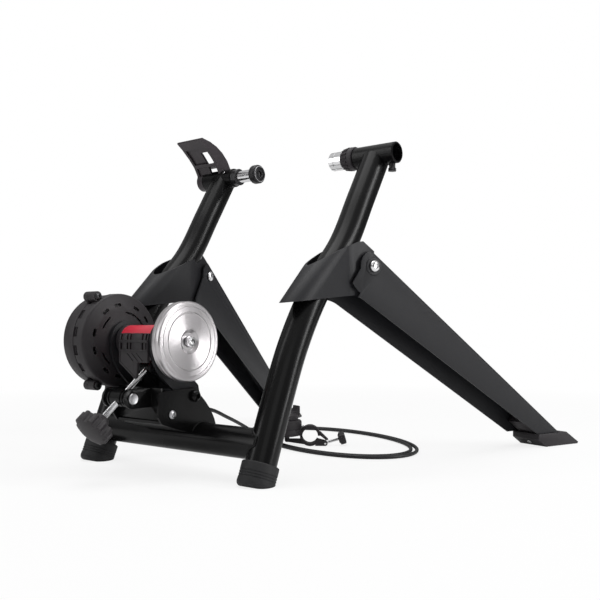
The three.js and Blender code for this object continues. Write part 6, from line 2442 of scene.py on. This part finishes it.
def handset_matrix():
    place = Matrix.Translation((REMOTE["x"], REMOTE["y"], REMOTE["z"]))
    return place @ turned(REMOTE["turn"], "Z")


def along_screw(solid):
    """Turns a solid made along Y into the swing screw's line."""
    turn = turned(-REMOTE["screw_rise"], "Y") @ turned(-90, "Z")
    return moved(solid, Matrix.Translation((REMOTE["eye_out"], 0, -REMOTE["eye_drop"])) @ turn)


class BuildRemote(bpy.types.Operator):
    """Remote: puck, thumb lever, two jaws, swing screw and its knob"""

    bl_idname = "trainer.remote"
    bl_label = "Remote"

    def execute(self, context):
        self.body()
        self.lever()
        self.jaw()
        self.screw()
        return {"FINISHED"}

    def add(self, solid, node, body, edge=0, kind="plastic"):
        redo(moved(solid, handset_matrix()), node, kind, body, edge)

    def body(self):
        r = REMOTE
        bar, jaw, half = sizes().bar_radius, r["jaw"], r["half"]
        low, high, body = r["body_low"], r["body_high"], r["body"]
        profile = [
            (0, low),
            (body - jaw, low),
            *bend((body - jaw, low), (body, low), (body, low + r["skirt"]), 8),
            *[(body - depth, z) for depth, z in REMOTE_SEAM],
            (body, high - jaw),
            *bend((body, high - jaw), (body, high), (body - jaw, high), 8),
            (0, high),
        ]
        puck = moved(lathe(profile), Matrix.Translation((-r["body_out"], 0, 0)) @ UPRIGHT)
        arch = prism([*arc(0, 0, bar + jaw, 0, 180, 40), *arc(0, 0, bar, 180, 0, 40)], -half, half, "Y")
        reach, drop = r["flange_reach"], r["flange_drop"]
        upper = [(bar, 0), (bar + jaw, r["flange_rise"]), (reach, -drop)]
        flange = prism([*upper, (reach - jaw, -drop), (bar + jaw, 0)], -half, half, "Y")
        arm = block(-r["body_out"], -bar - jaw / 2, -half, half, 0, r["bridge"])
        x, z, knuckle = -r["hinge"], -r["hinge_drop"], r["knuckle"]
        lug = [(x + knuckle, low + FIT), (x - knuckle, low + FIT), *arc(x, z, knuckle, 180, 360, 16)]
        lugs = reversed(plates(lug, half - r["lug"], half))
        hinge = pin_y(r["pin"], -half, half, x, z)
        slot = block(bar + jaw, OVERRUN, -r["screw"] - FIT, r["screw"] + FIT, -OVERRUN, OVERRUN)
        bar_way = pin_y(bar, -OVERRUN, OVERRUN, 0, 0, ROUND)
        before, last = (Vector(p) for p in CABLE_TAIL[-2:])
        ahead = (last - before).normalized()
        way = sweep([before, last + ahead * FIT], sizes().cable_radius + FIT, 24)
        moved(way, handset_matrix().inverted())
        solid = cut(join(puck, arch, flange, arm, *lugs, hinge), bar_way, slot, way)
        self.add(solid, "remote_body", "stand", 0.6)
        aim = Vector((0, 1, 0)).rotation_difference(ahead).to_matrix().to_4x4()
        start = Matrix.Translation(last - ahead * r["gland_reach"])
        trim(moved(lathe(REMOTE_GLAND, SMALL_ROUND), start @ aim), "remote_gland", "rubber", "stand")
        screw = moved(dome_screw(*REMOTE_SCREW), UPRIGHT)
        shifted(screw, r["screw_out"] - r["body_out"], 0, r["bridge"] + 0.05)
        trim(moved(screw, handset_matrix()), "remote_clamp_screw", "chrome", "stand")

    def lever(self):
        low = REMOTE["body_high"] + FIT
        d = DIAL
        radius, height, tip, root, lip = d["radius"], d["height"], d["tip"], d["tip_root"], d["lip"]
        top = low + height
        peak = top + d["rise"]
        shoulder = (radius - lip - 2, top - lip * 0.6)
        profile = [
            (0, low),
            (radius, low),
            (radius, low + height / 2),
            *bend((radius, low + height / 2), (radius, top - lip), shoulder, 8),
            (root + 1, top),
            (root, top - 0.6),
            (root - 1, top),
            (0, top),
        ]
        cap = moved(lathe(profile), UPRIGHT)
        side = [
            (root, low + lip),
            (radius - lip, low + lip),
            *bend((radius - lip, low + lip), (tip - 1, low + lip + 2), (tip, top), 8),
            (tip, peak - lip),
            *bend((tip, peak - lip), (tip, peak), (tip - lip, peak), 5),
            (tip - 2 * lip, peak),
            *bend((tip - 2 * lip, peak), (tip - 2.4 * lip, top + 2), (root, top), 10),
        ]
        thumb = prism(side, -d["width"] / 2, d["width"] / 2, "Y")
        solid = moved(join(cap, thumb), turned(d["heading"], "Z"))
        shifted(solid, -REMOTE["body_out"], 0, 0)
        self.add(solid, "remote_lever", "dial", 0.7)

    def jaw(self):
        r = REMOTE
        bar, jaw, half, eye = sizes().bar_radius, r["jaw"], r["half"], r["eye"]
        eye_x, eye_z = r["eye_out"], -r["eye_drop"]
        x, z, knuckle = -r["hinge"], -r["hinge_drop"], r["knuckle"]
        start, end = JAW_ARC
        ring = [*arc(0, 0, bar + jaw, start, end, 30), *arc(0, 0, bar, end, start, 30)]
        band = prism(ring, -half, half, "Y")
        side = [(bar - jaw, -bar - jaw + FIT), *arc(eye_x, eye_z, eye, -90, 90, 12), (bar, -bar / 2)]
        ear = prism(side, -half, half, "Y")
        inside = half - r["lug"] - FIT
        way = [(x, z - knuckle), (-bar / 2, -bar - jaw / 2), (-bar - jaw / 2, -bar / 2), (x, z)]
        link = prism(way, -inside, inside, "Y")
        hinge = pin_y(knuckle, -inside, inside, x, z)
        room, gap = eye + 2 * FIT, r["eye_half"] + FIT
        way = block(0, OVERRUN, -gap, gap, -room, room)
        moved(way, Matrix.Translation((eye_x, 0, eye_z)) @ turned(-r["screw_rise"], "Y"))
        lift = shifted(block(-room, OVERRUN, -gap, gap, 0, OVERRUN), eye_x, 0, eye_z)
        tools = [
            pin_y(room, -gap, gap, eye_x, eye_z),
            way,
            lift,
            pin_y(bar, -OVERRUN, OVERRUN, 0, 0, ROUND),
            pin_y(r["trunnion"] + FIT, -OVERRUN, OVERRUN, eye_x, eye_z),
            pin_y(r["pin"] + FIT, -OVERRUN, OVERRUN, x, z),
        ]
        solid = cut(join(band, ear, link, hinge), *tools)
        self.add(solid, "remote_jaw", "jaw", 0.4)

    def screw(self):
        r = REMOTE
        reach = r["knob_from"] + r["knob_length"]
        thread = along_screw(threaded(r["screw"], 0, reach, 1, 0.35, 28))
        eye = pin_y(r["eye"], -r["eye_half"], r["eye_half"], r["eye_out"], -r["eye_drop"], SMALL_ROUND, 0.3)
        cross_pin = pin_y(r["trunnion"], -r["half"], r["half"], r["eye_out"], -r["eye_drop"])
        self.add(join(thread, eye, cross_pin), "remote_screw", "swing_screw", kind="chrome")
        low, high, radius = r["knob_from"], reach, r["knob"]
        ridges = lobed(72, lambda a: radius * (0.965 + 0.035 * math.cos(12 * a)))
        outline = [(x, z) for z, x in ridges]
        grip = prism(outline, low + r["jaw"] / 2, high, "Y")
        shoulder = low + r["jaw"] / 2 + 0.2
        neck = lathe([(0, low), (r["jaw"] + r["screw"], low), (radius * 0.9, shoulder), (0, shoulder)], 64)
        wide, top = radius + 3, high + 0.01
        curve = bend((wide, high - 3), (radius - 1, high), (radius - 3, top), 6)
        dome = lathe([(0, low - 1), (wide, low - 1), (wide, high - 3), *curve, (0, top)], 64)
        solid = common(join(grip, neck), dome)
        solid = along_screw(cut(solid, lathe(rod_profile(r["screw"] + FIT, low - 2, high + 2), SMALL_ROUND)))
        self.add(solid, "remote_knob", "jaw_knob", 0.3)


# The add-on's panel, and what runs when the file is run
BUILDERS = [
    BuildStage,
    BuildCable,
    BuildTubes,
    BuildFeet,
    BuildBarrels,
    BuildSaddles,
    BuildFoldingLegs,
    BuildShoes,
    BuildRightCup,
    BuildClamp,
    BuildTurning,
    BuildYoke,
    BuildDrum,
    BuildBracket,
    BuildAdjuster,
    BuildRemote,
]


class TrainerPanel(bpy.types.Panel):
    bl_idname = "VIEW3D_PT_trainer"
    bl_label = "Trainer"
    bl_space_type = "VIEW_3D"
    bl_region_type = "UI"
    bl_category = "Trainer"

    def draw(self, context):
        layout = self.layout
        for group in (context.scene.trainer_sizes, context.scene.trainer_colours):
            for name in group.__annotations__:
                layout.prop(group, name)
        for builder in BUILDERS:
            layout.operator(builder.bl_idname)


CLASSES = [TrainerSizes, TrainerColours, *BUILDERS, TrainerPanel]


def register():
    for item in CLASSES:
        bpy.utils.register_class(item)
    bpy.types.Scene.trainer_sizes = PointerProperty(type=TrainerSizes)
    bpy.types.Scene.trainer_colours = PointerProperty(type=TrainerColours)


def unregister():
    del bpy.types.Scene.trainer_colours
    del bpy.types.Scene.trainer_sizes
    for item in reversed(CLASSES):
        bpy.utils.unregister_class(item)


def main():
    register()
    for builder in BUILDERS:
        family, name = builder.bl_idname.split(".")
        getattr(getattr(bpy.ops, family), name)()


if __name__ == "__main__":
    main()
